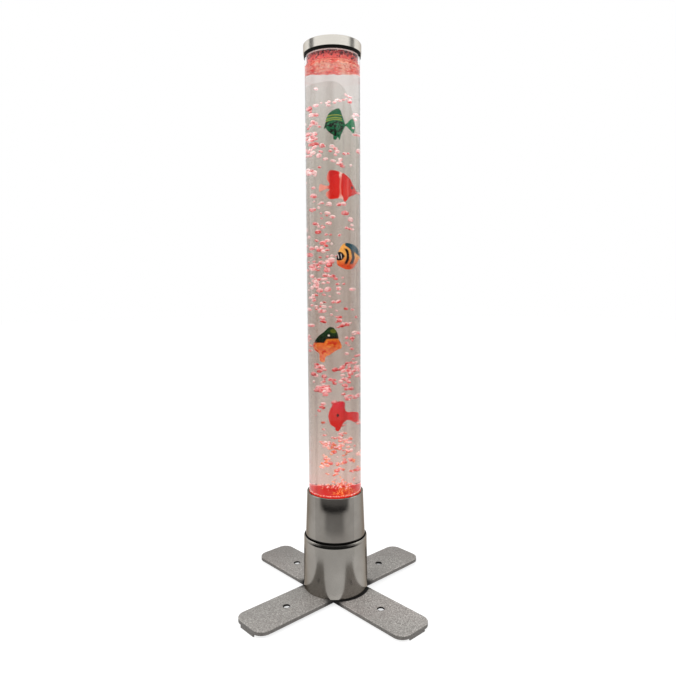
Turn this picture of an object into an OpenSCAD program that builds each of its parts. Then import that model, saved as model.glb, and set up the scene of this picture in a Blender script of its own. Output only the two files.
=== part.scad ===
// Bubble tube floor lamp: a clear water column on a round base that stands on a cross foot.
// Frame: +Z up, front towards -Y, origin on the floor under the middle of the lamp.

/* [Cross foot] */
// Length of each foot bar, end to end
foot_len = 417; // [360:1:480]
// Width of each foot bar
foot_w = 79; // [72:1:90]
// Corner radius of the foot bars, seen from above
foot_corner_r = 20; // [12:1:26]
// Height of the skirt round each foot bar
foot_skirt_h = 7.7; // [6:0.1:12]
// Gap between the floor and the skirt of the upper bar
foot_clear = 6.3; // [4.5:0.1:10]
// Wall of the skirt
foot_wall = 2.5; // [2:0.1:4]
// Thickness of the top plate of the upper bar
foot_plate_t = 2.6; // [2:0.1:4]
// How much lower the second bar lies
foot_step = 1.8; // [1.2:0.1:2.4]
// Rounding of the top edges of the bars
foot_edge_r = 1.6; // [0.5:0.1:2]
// Thickness of the lip that stands on the floor
lip_t = 2.2; // [1.6:0.1:3]
// Setback of the lip from the end face
lip_inset = 0.8; // [0.2:0.1:1.5]
// Fixing hole in each arm
foot_hole_d = 12; // [6:0.5:16]
// Circle on which the fixing holes lie
foot_hole_pcd = 243; // [200:1:280]
// Clearance round the half-lap crossing
lap_gap = 0.25; // [0.1:0.05:0.5]
// Distance of the foot bolts from each bar's centre lines
foot_bolt_offset = 25; // [23:0.5:27]

/* [Housing] */
// Height of the housing from the foot bars to the top of its shoulder
housing_h = 103.7; // [98:0.1:130]
// How much the housing widens towards its foot, on the radius
housing_flare = 1.3; // [0.5:0.1:4]
// Wall of the housing
housing_wall = 3; // [2.5:0.1:4]
// Radius of the rounded shoulder
shoulder_r = 3.7; // [2:0.1:5]
// Thickness of the inner flange that carries the collar
flange_t = 3; // [2:0.5:5]
// Height of the socket for the collar, above the inner flange
socket_h = 10.7; // [8:0.1:14]
// Thickness of the base plate
base_plate_t = 3; // [2:0.5:4]

/* [Collar] */
// Height of the collar above the shoulder
collar_h = 85.9; // [80:0.1:120]
// Width of the collar's rim outside the tube
collar_rim_w = 3.65; // [3:0.05:6]
// How much the collar widens towards its foot, on the radius
collar_flare = 3.3; // [1:0.1:5]
// Depth of the shadow groove at the collar's foot
groove_depth = 0.8; // [0.4:0.1:1.5]
// Height of the shadow groove
groove_h = 1.3; // [0.8:0.1:3]
// Depth from the collar's rim to the end of the tube
tube_seat_depth = 19.6; // [14:0.1:30]
// Thickness of the shelf that carries the tube
shelf_t = 4; // [4:0.5:7]
// Clear opening of the shelf
shelf_bore_d = 82; // [78:1:84]

/* [Tube] */
// Outer diameter of the tube
tube_d = 100; // [98:1:112]
// Wall of the tube
tube_wall = 3; // [2.5:0.5:4]
// Length of the tube
tube_len = 835.8; // [835:0.1:1100]
// Thickness of the opal floor bonded into the tube
tube_floor_t = 20; // [4:0.5:22]
// Thickness of the flat seal under the tube
seal_t = 2; // [1:0.5:3]

/* [Cap] */
// Height of the cap
cap_h = 16.5; // [14:0.1:24]
// Thickness of the cap's top
cap_top_t = 2.8; // [1.5:0.1:4]
// Wall of the cap's skirt
cap_skirt_t = 1.1; // [0.8:0.1:2]
// Rounding of the cap's top edge
cap_edge_r = 0.8; // [0.3:0.1:1]
// Wall of the rubber gasket over the tube's rim
gasket_t = 1.15; // [1:0.05:1.6]
// Height of the gasket that shows below the cap
gasket_show = 5.2; // [2:0.1:10]
// Depth of the cap's inner sleeve below its top
cap_sleeve_depth = 13; // [8:0.5:18]

/* [Light] */
// Diameter of the LED board
led_board_d = 95; // [92:1:97]
// Thickness of both circuit boards
board_t = 1.6; // [1:0.1:2]
// Gap between the shelf and the LED board
led_board_drop = 4; // [3:0.5:8]
// Number of LED chips in the outer ring
led_count = 12; // [6:1:16]
// Side of a square LED chip
led_size = 5; // [3:0.5:6]
// Height of an LED chip
led_h = 1.8; // [0.8:0.1:2.5]
// Thickness of the light window
window_t = 2; // [1.5:0.5:3]

/* [Air supply] */
// Sideways place of the air line
air_x = 16; // [15:0.5:18]
// Place of the air line from front to back
air_y = -12; // [-14:0.5:-10]
// Outer diameter of the hose spigots
spigot_d = 6; // [5:0.5:7]
// Wall of the air hose
hose_wall = 1.2; // [1:0.1:2]
// Diameter of the air stone
stone_d = 24; // [16:1:30]
// Height of the air stone
stone_h = 8; // [5:0.5:14]
// Height of the check valve's barrel
valve_h = 20; // [14:1:26]
// Diameter of the check valve's barrel
valve_d = 13; // [10:0.5:16]

/* [Pump] */
// Length of the pump case
pump_l = 64; // [62:1:70]
// Depth of the pump case
pump_w = 40; // [38:1:44]
// Height of the pump case without its lid
pump_h = 43; // [42:0.5:48]
// Place of the pump's middle from front to back
pump_y = -12; // [-14:0.5:-10]
// Wall of the pump case
pump_wall = 2; // [1.5:0.1:2.2]
// Thickness of the pump's lid
pump_lid_t = 3; // [2:0.5:4]
// Height of the pump's rubber feet
pump_foot_h = 4; // [3.8:0.1:8]
// Depth of the iron core
core_t = 14; // [10:0.5:16]
// Gap between magnet and core
magnet_gap = 1.2; // [1:0.1:1.6]

/* [Controls] */
// Width of the control board
control_w = 56; // [52:1:58]
// Height of the control board
control_h = 60; // [58:1:66]
// Diameter of the mode button
button_d = 12; // [9:0.5:13]
// How far the button stands out of the housing
button_out = 1.8; // [1.5:0.1:3]
// Travel of the button
button_travel = 2; // [1:0.1:2.4]
// Height of the button above the base plate
button_up = 55; // [52:1:56]
// Height of the power inlet above the base plate
jack_up = 19; // [17:1:22]
// Outer diameter of the power inlet's barrel
jack_d = 11; // [8:0.5:12]
// Bore of the power inlet
jack_bore_d = 5.5; // [4.5:0.1:6.5]

/* [Fish] */
// Length of the green fish's body
green_fish_l = 30; // [24:1:34]
// Thickness of the green fish
green_fish_t = 15; // [10:0.5:18]
// Height of the green fish's middle above the floor
green_fish_z = 888; // [875:1:895]
// Length of the upper red fish's body
red_fish_upper_l = 45; // [36:1:48]
// Thickness of the upper red fish
red_fish_upper_t = 11; // [8:0.5:16]
// Height of the upper red fish's middle above the floor
red_fish_upper_z = 775; // [765:1:785]
// Length of the striped fish's body
striped_fish_l = 34; // [28:1:36]
// Thickness of the striped fish
striped_fish_t = 13; // [10:0.5:18]
// Height of the striped fish's middle above the floor
striped_fish_z = 649; // [640:1:660]
// Length of the green and orange fish's body
green_orange_fish_l = 42; // [34:1:44]
// Thickness of the green and orange fish
green_orange_fish_t = 14; // [10:0.5:18]
// Height of the green and orange fish's middle above the floor
green_orange_fish_z = 486; // [480:1:495]
// Length of the lower red fish's body
red_fish_lower_l = 45; // [36:1:47]
// Thickness of the lower red fish
red_fish_lower_t = 14; // [10:0.5:18]
// Height of the lower red fish's middle above the floor
red_fish_lower_z = 349; // [340:1:360]
// Thickness of the fins
fin_t = 1.4; // [1:0.1:2.5]

/* [Hidden] */

$fn = 96;
wire_sides = 8;
over = 1;             // how far a cutter runs past the face that it cuts
fit_gap = 0.1;        // radial gap of pieces that slip into each other
bond_gap = 0.05;      // radial gap of bonded pieces
tube_gap = 0.25;      // radial gap between tube and collar
seat_gap = 0.3;       // gap to a stop that a moving piece doesn't rest on
run_gap = 0.06;       // radial gap of a running pin
rim_gap = 0.45;       // height between the tube's rim and the gasket's web

upper_arm_turn = 45;  // direction of the upper bar, seen from above
lower_arm_turn = -45; // direction of the lower bar

silver = [0.57, 0.555, 0.535];
dark_silver = [0.47, 0.46, 0.44];
bar_silver = [0.62, 0.61, 0.6];
light_metal = [0.86, 0.84, 0.82];
rubber_black = [0.05, 0.05, 0.05];
clear_acrylic = [0.85, 0.88, 0.9, 0.35];
opal_acrylic = [0.95, 0.87, 0.84];
board_green = [0.08, 0.36, 0.2];
steel = [0.7, 0.7, 0.72];
moulded_white = [0.88, 0.87, 0.84];
moulded_dark = [0.16, 0.16, 0.17];

// Heights, from the floor up
upper_bar_z = foot_clear + foot_skirt_h;
lower_bar_z = upper_bar_z - foot_step;
lap_z = upper_bar_z - foot_plate_t;
plate_z = upper_bar_z + base_plate_t;
shoulder_z = upper_bar_z + housing_h;
flange_top_z = shoulder_z - socket_h;
flange_z = flange_top_z - flange_t;
rim_z = shoulder_z + collar_h;
tube_z = rim_z - tube_seat_depth;
shelf_top_z = tube_z - seal_t;
shelf_z = shelf_top_z - shelf_t;
tube_floor_z = tube_z + tube_floor_t;
tube_top_z = tube_z + tube_len;
gasket_top_z = tube_top_z + gasket_t + rim_gap;
cap_top_z = gasket_top_z + cap_top_t;
cap_z = cap_top_z - cap_h;
gasket_z = cap_z - gasket_show;

// Radii, from the tube out
tube_r = tube_d / 2;
tube_bore_r = tube_r - tube_wall;
collar_bore_r = tube_r + tube_gap;
collar_top_r = collar_bore_r + collar_rim_w;
collar_foot_r = collar_top_r + collar_flare;
socket_r = collar_foot_r - 2.2;
spigot_r = socket_r - fit_gap - 0.1;
spigot_bore_r = spigot_r - 2.6;
collar_inner_r = collar_foot_r - 3;
housing_top_r = collar_foot_r + shoulder_r - 0.2;
housing_foot_r = housing_top_r + housing_flare;
housing_side_z = shoulder_z - shoulder_r;
flange_bore_r = spigot_bore_r - 8;
collar_screw_r = spigot_bore_r - 3.2;
gasket_r = tube_r + bond_gap + gasket_t;
cap_bore_r = gasket_r + fit_gap;
cap_r = cap_bore_r + cap_skirt_t;
plug_gasket_r = tube_bore_r - bond_gap - gasket_t;
plug_r = plug_gasket_r - fit_gap;
plug_wall = 1.6;

function housing_r_at(z) =
    housing_foot_r - housing_flare * (z - upper_bar_z) / (housing_side_z - upper_bar_z);

// Screws
foot_bolt_r = 2.4;
foot_bolt_head_r = 4.5;
foot_bolt_head_h = 3;
foot_boss_r = 4.5;
foot_boss_h = 3.5;
plate_screw_r = 2;
plate_screw_head_r = 4;
plate_screw_head_h = 2;
plate_screw_turns = [30, 150, 270];
plate_boss_r = 5;
plate_boss_h = 22;
plate_boss_at = housing_top_r - housing_wall - 4.7;
collar_screw_shank_r = 1.5;
collar_screw_head_r = 2.8;
collar_screw_head_h = 2.4;
collar_screw_len = 12;
collar_screw_turns = [60, 180, 300];
collar_boss_r = 4;
collar_boss_h = 15;
led_screw_r = 1.4;
led_screw_head_r = 2.6;
led_screw_head_h = 2;
led_screw_turns = [90, 210, 330];
led_boss_r = 3;
led_boss_at = shelf_bore_d / 2 + led_boss_r;
screw_gap = 0.05;

// Light
led_board_top_z = shelf_z - led_board_drop;
led_board_z = led_board_top_z - board_t;
led_ring_r = 32;
led_inner_r = 10;
led_inner_count = 3;
led_socket_x = -15;
led_socket_y = 20;
led_socket_h = 6;
window_r = shelf_bore_d / 2 + 2.8;

// Air supply
spigot_rad = spigot_d / 2;
spigot_bore_rad = 1.25;
hose_r = spigot_rad + hose_wall;
nozzle_foot_z = led_board_z - 10;
valve_top_z = nozzle_foot_z - 12;
valve_z = valve_top_z - valve_h;
valve_spigot_h = 8;

// Pump
pump_z = plate_z + pump_foot_h;
pump_lid_z = pump_z + pump_h;
pump_lid_top_z = pump_lid_z + pump_lid_t;
pump_axis_z = pump_z + 19;
pump_foot_r = 3.5;
pump_foot_x = 24;
pump_foot_y = 14;
pin_x = pump_l / 2 - 8;
pin_r = 2;
pin_boss_r = 4.5;
pin_boss_len = 6;
core_x = pump_wall - pump_l / 2 + 1;
core_yoke = 6;
core_leg = 15;
core_side_t = 4;
core_mid_t = 6;
core_h = 26;
leg_end_x = core_x + core_yoke + core_leg;
magnet_x = leg_end_x + magnet_gap;
magnet_t = 3.8;
magnet_h = 14;
arm_pad_t = 1.5;
arm_t = 3;
arm_w = 8;
arm_eye_r = 5;
arm_eye_w = 16;
stud_r = 3;
stud_x = 10;
stud_top_z = pump_axis_z + arm_t / 2 + 2.5;
diaphragm_h = 8;
diaphragm_r = 10;
diaphragm_top_z = stud_top_z + diaphragm_h;
coil_len = 12;
coil_flange_t = 1;
coil_h = 16.6;
coil_w = core_t + 11;
lid_lip_h = 2;
lid_lip_t = 1.4;

// Controls
pad_y = housing_top_r - housing_wall - 2.2;
pad_w = 20;
control_y = pad_y - 19.5;
control_back_y = control_y + board_t;
control_z = plate_z + 4;
button_z = plate_z + button_up;
button_r = button_d / 2;
button_hole_r = button_r + 0.3;
button_flange_r = button_r + 2;
button_flange_t = 2;
button_end_y = housing_r_at(button_z) + button_out;
switch_side = 12;
switch_t = 4;
plunger_r = 2.4;
plunger_depth = 0.6;
plunger_out = 3.7;
stem_r = 2.5;
switch_face_y = control_back_y + switch_t;
stem_foot_y = switch_face_y + plunger_out;
jack_z = plate_z + jack_up;
jack_rad = jack_d / 2;
jack_face_y = housing_r_at(jack_z) - 0.9;
jack_flange_r = jack_rad + 2.5;
jack_flange_t = 1.6;
jack_depth = 15;
jack_nut_t = 3;
jack_nut_r = jack_rad + 3;
jack_pin_r = 1;
jack_bore_depth = 10;
connector_w = 8;
connector_t = 5;
connector_h = 6;
inlet_socket_x = -18;
inlet_socket_z = jack_z - 8;
light_socket_x = -15;
light_socket_z = control_z + control_h - connector_h;
coil_socket_x = 18;
coil_socket_z = control_z + 38;
coil_exit_x = -20;
coil_exit_y = pump_y + 12;

// Routes of the inner leads: round numbers, from one terminal to the other
lead_r = 1.2;
inlet_route = [
    [-2, pad_y - 11.3, jack_z], [-4.5, pad_y - 11.3, jack_z], [-7.5, pad_y - 12.6, jack_z - 3.5],
    [-10, pad_y - 14.8, jack_z - 7], [-12.5, pad_y - 15.4, inlet_socket_z],
    [inlet_socket_x + connector_w / 2, pad_y - 15.4, inlet_socket_z]
];
light_route = [
    [light_socket_x, control_y - 2.5, light_socket_z + connector_h],
    [light_socket_x, control_y - 2.5, light_socket_z + connector_h + 6],
    [light_socket_x, control_y - 7, light_socket_z + connector_h + 22],
    [led_socket_x, led_socket_y + 3, led_board_z - led_socket_h - 34],
    [led_socket_x, led_socket_y, led_board_z - led_socket_h - 14],
    [led_socket_x, led_socket_y, led_board_z - led_socket_h - 4],
    [led_socket_x, led_socket_y, led_board_z - led_socket_h]
];
coil_route = [
    [coil_exit_x, coil_exit_y, pump_lid_top_z], [coil_exit_x, coil_exit_y, pump_lid_top_z + 5],
    [coil_exit_x + 6, coil_exit_y + 7, pump_lid_top_z + 11],
    [coil_socket_x - 12, control_y - 15, coil_socket_z + 10],
    [coil_socket_x - 2, control_y - 9, coil_socket_z + 1],
    [coil_socket_x, control_y - 7, coil_socket_z], [coil_socket_x, control_y - connector_t, coil_socket_z]
];

// Fish: places in the water, across and from front to back
green_fish_at = [3.5, -3];
red_fish_upper_at = [12.5, 1];
striped_fish_at = [20, 2];
green_orange_fish_at = [-10.5, -2];
red_fish_lower_at = [13.3, 0];
fish_rings = 5;

// ---------------------------------------------------------------- helpers

module at_turns(turns, r) for (a = turns) rotate([0, 0, a]) translate([r, 0, 0]) children();

module tube_between(z0, z1, r_out, r_in) {
    translate([0, 0, z0]) difference() {
        cylinder(h = z1 - z0, r = r_out);
        translate([0, 0, -over]) cylinder(h = z1 - z0 + 2 * over, r = r_in);
    }
}

module box_between(low, high) translate(low) cube(high - low);

module rounded_rect(l, w, r) {
    square([l - 2 * r, w], center = true);
    square([l, w - 2 * r], center = true);
    for (x = [-1, 1], y = [-1, 1]) translate([x * (l / 2 - r), y * (w / 2 - r)]) circle(r = r);
}

// A round bar from one depth to another, along Y
module rod_y(x, z, y0, y1, r) translate([x, y0, z]) rotate([-90, 0, 0]) cylinder(h = y1 - y0, r = r);

// A round lead along a smooth curve through the points of a route
function curve_point(p, i, t) =
    let (a = p[max(i - 1, 0)], b = p[i], c = p[i + 1], d = p[min(i + 2, len(p) - 1)])
    0.5 * ((2 * b) + (c - a) * t + (2 * a - 5 * b + 4 * c - d) * t * t
        + (3 * b - a - 3 * c + d) * t * t * t);
function curve(p, steps) =
    [for (i = [0 : len(p) - 2], k = [0 : steps - 1]) curve_point(p, i, k / steps), p[len(p) - 1]];
function unit(v) = v / norm(v);
function heading(p, i) = unit(p[i + 1] - p[i - 1]);
function side_way(t, ref) = unit(cross(t, ref));

// Faces listed anticlockwise, turned to the clockwise order of a polyhedron
function outward(faces) = [for (f = faces) [for (m = [len(f) - 1 : -1 : 0]) f[m]]];

module lead(route, r, ref) {
    pts = curve(route, 4);
    n = len(pts);
    last = len(route) - 1;
    starts = unit(route[1] - route[0]);
    ends_at = unit(route[last] - route[last - 1]);
    rings = [for (i = [0 : n - 1])
        let (t = i == 0 ? starts : i == n - 1 ? ends_at : heading(pts, i), u = side_way(t, ref), v = cross(t, u))
        for (k = [0 : wire_sides - 1]) let (a = 360 * k / wire_sides)
            pts[i] + r * (u * cos(a) + v * sin(a))];
    sides = [for (i = [0 : n - 2], k = [0 : wire_sides - 1])
        let (a = i * wire_sides, j = (k + 1) % wire_sides)
            [a + k, a + j, a + wire_sides + j, a + wire_sides + k]];
    ends = [[for (k = [wire_sides - 1 : -1 : 0]) k],
        [for (k = [0 : wire_sides - 1]) (n - 1) * wire_sides + k]];
    polyhedron(points = rings, faces = outward(concat(sides, ends)));
}

// ---------------------------------------------------------------- cross foot

// Upright section through a bar of width w, its top at zero, with rounded top edges
module foot_section(w) {
    translate([0, -foot_skirt_h]) {
        translate([-w / 2, 0]) square([w, foot_skirt_h - foot_edge_r]);
        translate([foot_edge_r - w / 2, 0]) square([w - 2 * foot_edge_r, foot_skirt_h]);
        for (s = [-1, 1]) translate([s * (w / 2 - foot_edge_r), foot_skirt_h - foot_edge_r])
            circle(r = foot_edge_r);
    }
}

// The bar before it is hollowed: a run each way and four round corners
module foot_blank() {
    inner_l = foot_len - 2 * foot_corner_r;
    inner_w = foot_w - 2 * foot_corner_r;
    rotate([90, 0, 90]) linear_extrude(inner_l, center = true) foot_section(foot_w);
    rotate([90, 0, 0]) linear_extrude(inner_w, center = true) foot_section(foot_len);
    for (x = [-1, 1], y = [-1, 1]) translate([x * inner_l / 2, y * inner_w / 2, 0])
        rotate_extrude() intersection() {
            foot_section(2 * foot_corner_r);
            translate([0, -foot_skirt_h]) square([foot_corner_r, foot_skirt_h]);
        }
}

// One bar in its own frame: along X, top face at Z = 0, standing on the floor at Z = -top_z
module foot_bar(top_z) {
    lip_w = foot_w - 2 * foot_corner_r;
    difference() {
        union() {
            difference() {
                foot_blank();
                translate([0, 0, -foot_skirt_h - over])
                    linear_extrude(foot_skirt_h + over - foot_plate_t) rounded_rect(
                        foot_len - 2 * foot_wall, foot_w - 2 * foot_wall, foot_corner_r - foot_wall);
            }
            for (s = [-1, 1]) translate([s * (foot_len / 2 - lip_inset - lip_t / 2), 0, -top_z])
                translate([-lip_t / 2, -lip_w / 2, 0]) cube([lip_t, lip_w, top_z - foot_plate_t / 2]);
        }
        for (s = [-1, 1]) translate([s * foot_hole_pcd / 2, 0, -foot_skirt_h - over])
            cylinder(h = foot_skirt_h + 2 * over, d = foot_hole_d);
        for (x = [-1, 1], y = [-1, 1])
            translate([x * foot_bolt_offset, y * foot_bolt_offset, -foot_skirt_h - over])
                cylinder(h = foot_skirt_h + 2 * over, r = foot_bolt_r + fit_gap);
    }
}

module foot_bar_upper() {
    lap = foot_w / 2 + lap_gap;
    color(bar_silver) translate([0, 0, upper_bar_z]) rotate([0, 0, upper_arm_turn]) difference() {
        foot_bar(upper_bar_z);
        box_between([-lap, -foot_w, -foot_skirt_h - over], [lap, foot_w, -foot_plate_t]);
    }
}

module foot_bar_lower() {
    lap = foot_w / 2 + lap_gap;
    color(bar_silver) translate([0, 0, lower_bar_z]) rotate([0, 0, lower_arm_turn]) difference() {
        foot_bar(lower_bar_z);
        box_between([-lap, -foot_w, lap_z - lower_bar_z], [lap, foot_w, over]);
    }
}

module at_foot_bolts() {
    rotate([0, 0, upper_arm_turn]) for (x = [-1, 1], y = [-1, 1])
        translate([x * foot_bolt_offset, y * foot_bolt_offset, 0]) children();
}

module foot_bolts() {
    head_top_z = lower_bar_z - foot_plate_t;
    tip_z = plate_z + foot_boss_h - 0.5;
    color(steel) at_foot_bolts() difference() {
        union() {
            translate([0, 0, head_top_z - foot_bolt_head_h])
                cylinder(h = foot_bolt_head_h, r = foot_bolt_head_r);
            translate([0, 0, head_top_z - over]) cylinder(h = tip_z - head_top_z + over, r = foot_bolt_r);
        }
        translate([0, 0, head_top_z - foot_bolt_head_h - over]) cylinder(h = 1.6 + over, r = 2.2, $fn = 6);
    }
}

// ---------------------------------------------------------------- base

module base_plate() {
    plate_r = housing_foot_r - housing_wall - fit_gap - 0.1;
    vent_w = 2.4;
    vent_pitch = 6;
    vent_outer_r = plate_r - 4;
    vent_len = 12;
    post_x = control_w / 2;
    post_w = 3;
    color(moulded_dark) difference() {
        union() {
            translate([0, 0, upper_bar_z]) cylinder(h = base_plate_t, r = plate_r);
            at_foot_bolts() translate([0, 0, plate_z - over]) cylinder(h = foot_boss_h + over, r = foot_boss_r);
            for (s = [-1, 1]) box_between(
                [s * post_x - post_w, control_y - post_w, plate_z - over],
                [s * post_x + post_w, control_back_y + post_w, control_z + 8]);
        }
        at_foot_bolts() translate([0, 0, upper_bar_z - over])
            cylinder(h = base_plate_t + foot_boss_h + 2 * over, r = foot_bolt_r + screw_gap);
        at_turns(plate_screw_turns, plate_boss_at) {
            translate([0, 0, upper_bar_z - over]) cylinder(h = base_plate_t + 2 * over, r = plate_screw_r + fit_gap);
            translate([0, 0, upper_bar_z]) cylinder(h = plate_screw_head_h,
                r1 = plate_screw_head_r, r2 = plate_screw_r + fit_gap);
        }
        for (a = [lower_arm_turn, lower_arm_turn + 180], k = [-1 : 1]) rotate([0, 0, a])
            box_between([vent_outer_r - vent_len, k * vent_pitch - vent_w / 2, upper_bar_z - over],
                [vent_outer_r, k * vent_pitch + vent_w / 2, plate_z + over]);
        box_between([-post_x - fit_gap, control_y - fit_gap, control_z],
            [post_x + fit_gap, control_back_y + fit_gap, control_z + control_h]);
    }
}

module plate_screws() {
    color(steel) at_turns(plate_screw_turns, plate_boss_at) {
        translate([0, 0, upper_bar_z]) difference() {
            union() {
                cylinder(h = plate_screw_head_h, r1 = plate_screw_head_r - fit_gap, r2 = plate_screw_r);
                cylinder(h = base_plate_t + plate_boss_h - 8, r = plate_screw_r);
            }
            for (a = [0, 90]) rotate([0, 0, a]) translate([-2, -0.4, -over]) cube([4, 0.8, 1 + over]);
        }
    }
}

module housing_outline() {
    translate([0, 0, upper_bar_z]) cylinder(h = housing_side_z - upper_bar_z, r1 = housing_foot_r, r2 = housing_top_r);
}

module base_housing() {
    color(silver) difference() {
        union() {
            rotate_extrude() difference() {
                union() {
                    polygon([[0, upper_bar_z], [housing_foot_r, upper_bar_z], [housing_top_r, housing_side_z],
                        [0, housing_side_z]]);
                    square([housing_top_r - shoulder_r, shoulder_z]);
                    translate([housing_top_r - shoulder_r, housing_side_z]) intersection() {
                        circle(r = shoulder_r);
                        square(shoulder_r);
                    }
                }
                square([housing_foot_r + over, upper_bar_z]);
                polygon([[0, upper_bar_z], [housing_foot_r - housing_wall, upper_bar_z],
                    [housing_top_r - housing_wall, flange_z], [0, flange_z]]);
                square([flange_bore_r, shoulder_z + over]);
                translate([0, flange_top_z]) square([socket_r, shoulder_z]);
            }
            intersection() {
                housing_outline();
                union() {
                    box_between([-pad_w / 2, pad_y, plate_z + 6], [pad_w / 2, housing_foot_r, plate_z + 66]);
                    at_turns(plate_screw_turns, plate_boss_at) {
                        translate([0, 0, plate_z]) cylinder(h = plate_boss_h, r = plate_boss_r);
                        box_between([0, -2, plate_z], [plate_boss_r + 4, 2, plate_z + plate_boss_h]);
                    }
                }
            }
        }
        at_turns(plate_screw_turns, plate_boss_at) translate([0, 0, plate_z - over])
            cylinder(h = plate_boss_h - 4 + over, r = plate_screw_r + screw_gap);
        at_turns(collar_screw_turns, collar_screw_r) translate([0, 0, flange_z - over])
            cylinder(h = flange_t + 2 * over, r = collar_screw_shank_r + fit_gap);
        rod_y(0, button_z, pad_y - over, housing_foot_r + over, button_hole_r);
        rod_y(0, jack_z, pad_y - over, housing_foot_r + over, jack_rad + fit_gap);
        rod_y(0, jack_z, jack_face_y, housing_foot_r + over, jack_flange_r + 0.3);
    }
}

module base_collar() {
    color(silver) difference() {
        union() {
            rotate_extrude() difference() {
                union() {
                    polygon([[0, shoulder_z], [collar_foot_r, shoulder_z], [collar_top_r, rim_z - 0.8],
                        [collar_top_r - 0.8, rim_z], [0, rim_z]]);
                    translate([0, flange_top_z]) square([spigot_r, socket_h + over]);
                }
                square([spigot_bore_r, shoulder_z + 3]);
                polygon([[0, shoulder_z + 2.9], [spigot_bore_r, shoulder_z + 2.9], [collar_inner_r, shoulder_z + 5],
                    [collar_top_r - 2.6, shelf_z], [0, shelf_z]]);
                square([shelf_bore_d / 2, rim_z + over]);
                translate([0, shelf_top_z - window_t]) square([window_r + fit_gap, rim_z]);
                translate([0, shelf_top_z]) square([collar_bore_r, rim_z]);
                translate([collar_foot_r - groove_depth, shoulder_z]) square([over + groove_depth, groove_h]);
            }
            at_turns(collar_screw_turns, collar_screw_r) translate([0, 0, flange_top_z])
                cylinder(h = collar_boss_h, r = collar_boss_r);
            at_turns(led_screw_turns, led_boss_at) translate([0, 0, led_board_top_z])
                cylinder(h = led_board_drop + over, r = led_boss_r);
        }
        at_turns(collar_screw_turns, collar_screw_r) translate([0, 0, flange_top_z - over])
            cylinder(h = collar_screw_len + over, r = collar_screw_shank_r + screw_gap);
        at_turns(led_screw_turns, led_boss_at) translate([0, 0, led_board_top_z - over])
            cylinder(h = led_board_drop + 1 + over, r = led_screw_r + screw_gap);
    }
}

module collar_screws() {
    color(steel) at_turns(collar_screw_turns, collar_screw_r) {
        translate([0, 0, flange_z - collar_screw_head_h])
            cylinder(h = collar_screw_head_h, r = collar_screw_head_r);
        translate([0, 0, flange_z - over])
            cylinder(h = flange_t + collar_screw_len - 1 + over, r = collar_screw_shank_r);
    }
}

// ---------------------------------------------------------------- tube and cap

module tube_seal() color(rubber_black) tube_between(shelf_top_z, tube_z, collar_bore_r - bond_gap, window_r - 1.5);

module acrylic_tube() color(clear_acrylic) tube_between(tube_z, tube_top_z, tube_r, tube_bore_r);

module tube_floor() {
    color(opal_acrylic) difference() {
        translate([0, 0, tube_z]) cylinder(h = tube_floor_t, r = tube_bore_r - bond_gap);
        translate([air_x, air_y, tube_z - over]) cylinder(h = tube_floor_t + 2 * over, r = spigot_rad + bond_gap);
    }
}

module cap_gasket() {
    color(rubber_black) rotate_extrude() difference() {
        translate([plug_gasket_r, gasket_z]) square([gasket_r - plug_gasket_r, gasket_top_z - gasket_z]);
        translate([tube_bore_r - bond_gap, gasket_z - over])
            square([tube_wall + 2 * bond_gap, tube_top_z - gasket_z + over]);
        translate([0, gasket_z - over]) square([tube_bore_r, cap_top_z - cap_top_t - cap_sleeve_depth - gasket_z + over]);
    }
}

module top_cap() {
    plate_z0 = cap_top_z - cap_top_t;
    color(light_metal) rotate_extrude() difference() {
        union() {
            translate([0, cap_z]) square([cap_r, cap_h - cap_edge_r]);
            square([cap_r - cap_edge_r, cap_top_z]);
            translate([cap_r - cap_edge_r, cap_top_z - cap_edge_r]) intersection() {
                circle(r = cap_edge_r);
                square(cap_edge_r);
            }
        }
        square([cap_r + over, cap_z]);
        translate([0, cap_z - over]) square([plug_r - plug_wall, plate_z0 - cap_z + over]);
        translate([plug_r, cap_z - over]) square([cap_bore_r - plug_r, plate_z0 - cap_z + over]);
        translate([0, cap_z - over]) square([plug_r, max(plate_z0 - cap_sleeve_depth - cap_z + over, 0.01)]);
    }
}

// ---------------------------------------------------------------- light

module light_window() {
    color(clear_acrylic) difference() {
        translate([0, 0, shelf_top_z - window_t]) cylinder(h = window_t, r = window_r);
        translate([air_x, air_y, shelf_top_z - window_t - over])
            cylinder(h = window_t + 2 * over, r = spigot_rad + seat_gap);
    }
}

module led_board() {
    color(moulded_white) difference() {
        translate([0, 0, led_board_z]) cylinder(h = board_t, d = led_board_d);
        translate([air_x, air_y, led_board_z - over])
            cylinder(h = board_t + 2 * over, r = spigot_rad + seat_gap);
        at_turns(led_screw_turns, led_boss_at) translate([0, 0, led_board_z - over])
            cylinder(h = board_t + 2 * over, r = led_screw_r + fit_gap);
    }
}

module led_chips() {
    color([1, 0.95, 0.6]) {
        for (k = [0 : led_count - 1]) rotate([0, 0, 360 * k / led_count])
            translate([led_ring_r - led_size / 2, -led_size / 2, led_board_top_z]) cube([led_size, led_size, led_h]);
        for (k = [0 : led_inner_count - 1]) rotate([0, 0, 60 + 360 * k / led_inner_count])
            translate([led_inner_r - led_size / 2, -led_size / 2, led_board_top_z]) cube([led_size, led_size, led_h]);
    }
}

module led_board_screws() {
    color(steel) at_turns(led_screw_turns, led_boss_at) {
        translate([0, 0, led_board_z - led_screw_head_h]) cylinder(h = led_screw_head_h, r = led_screw_head_r);
        translate([0, 0, led_board_z - over]) cylinder(h = board_t + led_board_drop + over, r = led_screw_r);
    }
}

module led_socket() {
    color(moulded_white) box_between(
        [led_socket_x - connector_w / 2, led_socket_y - connector_t / 2, led_board_z - led_socket_h],
        [led_socket_x + connector_w / 2, led_socket_y + connector_t / 2, led_board_z]);
}

// ---------------------------------------------------------------- air supply

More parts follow.
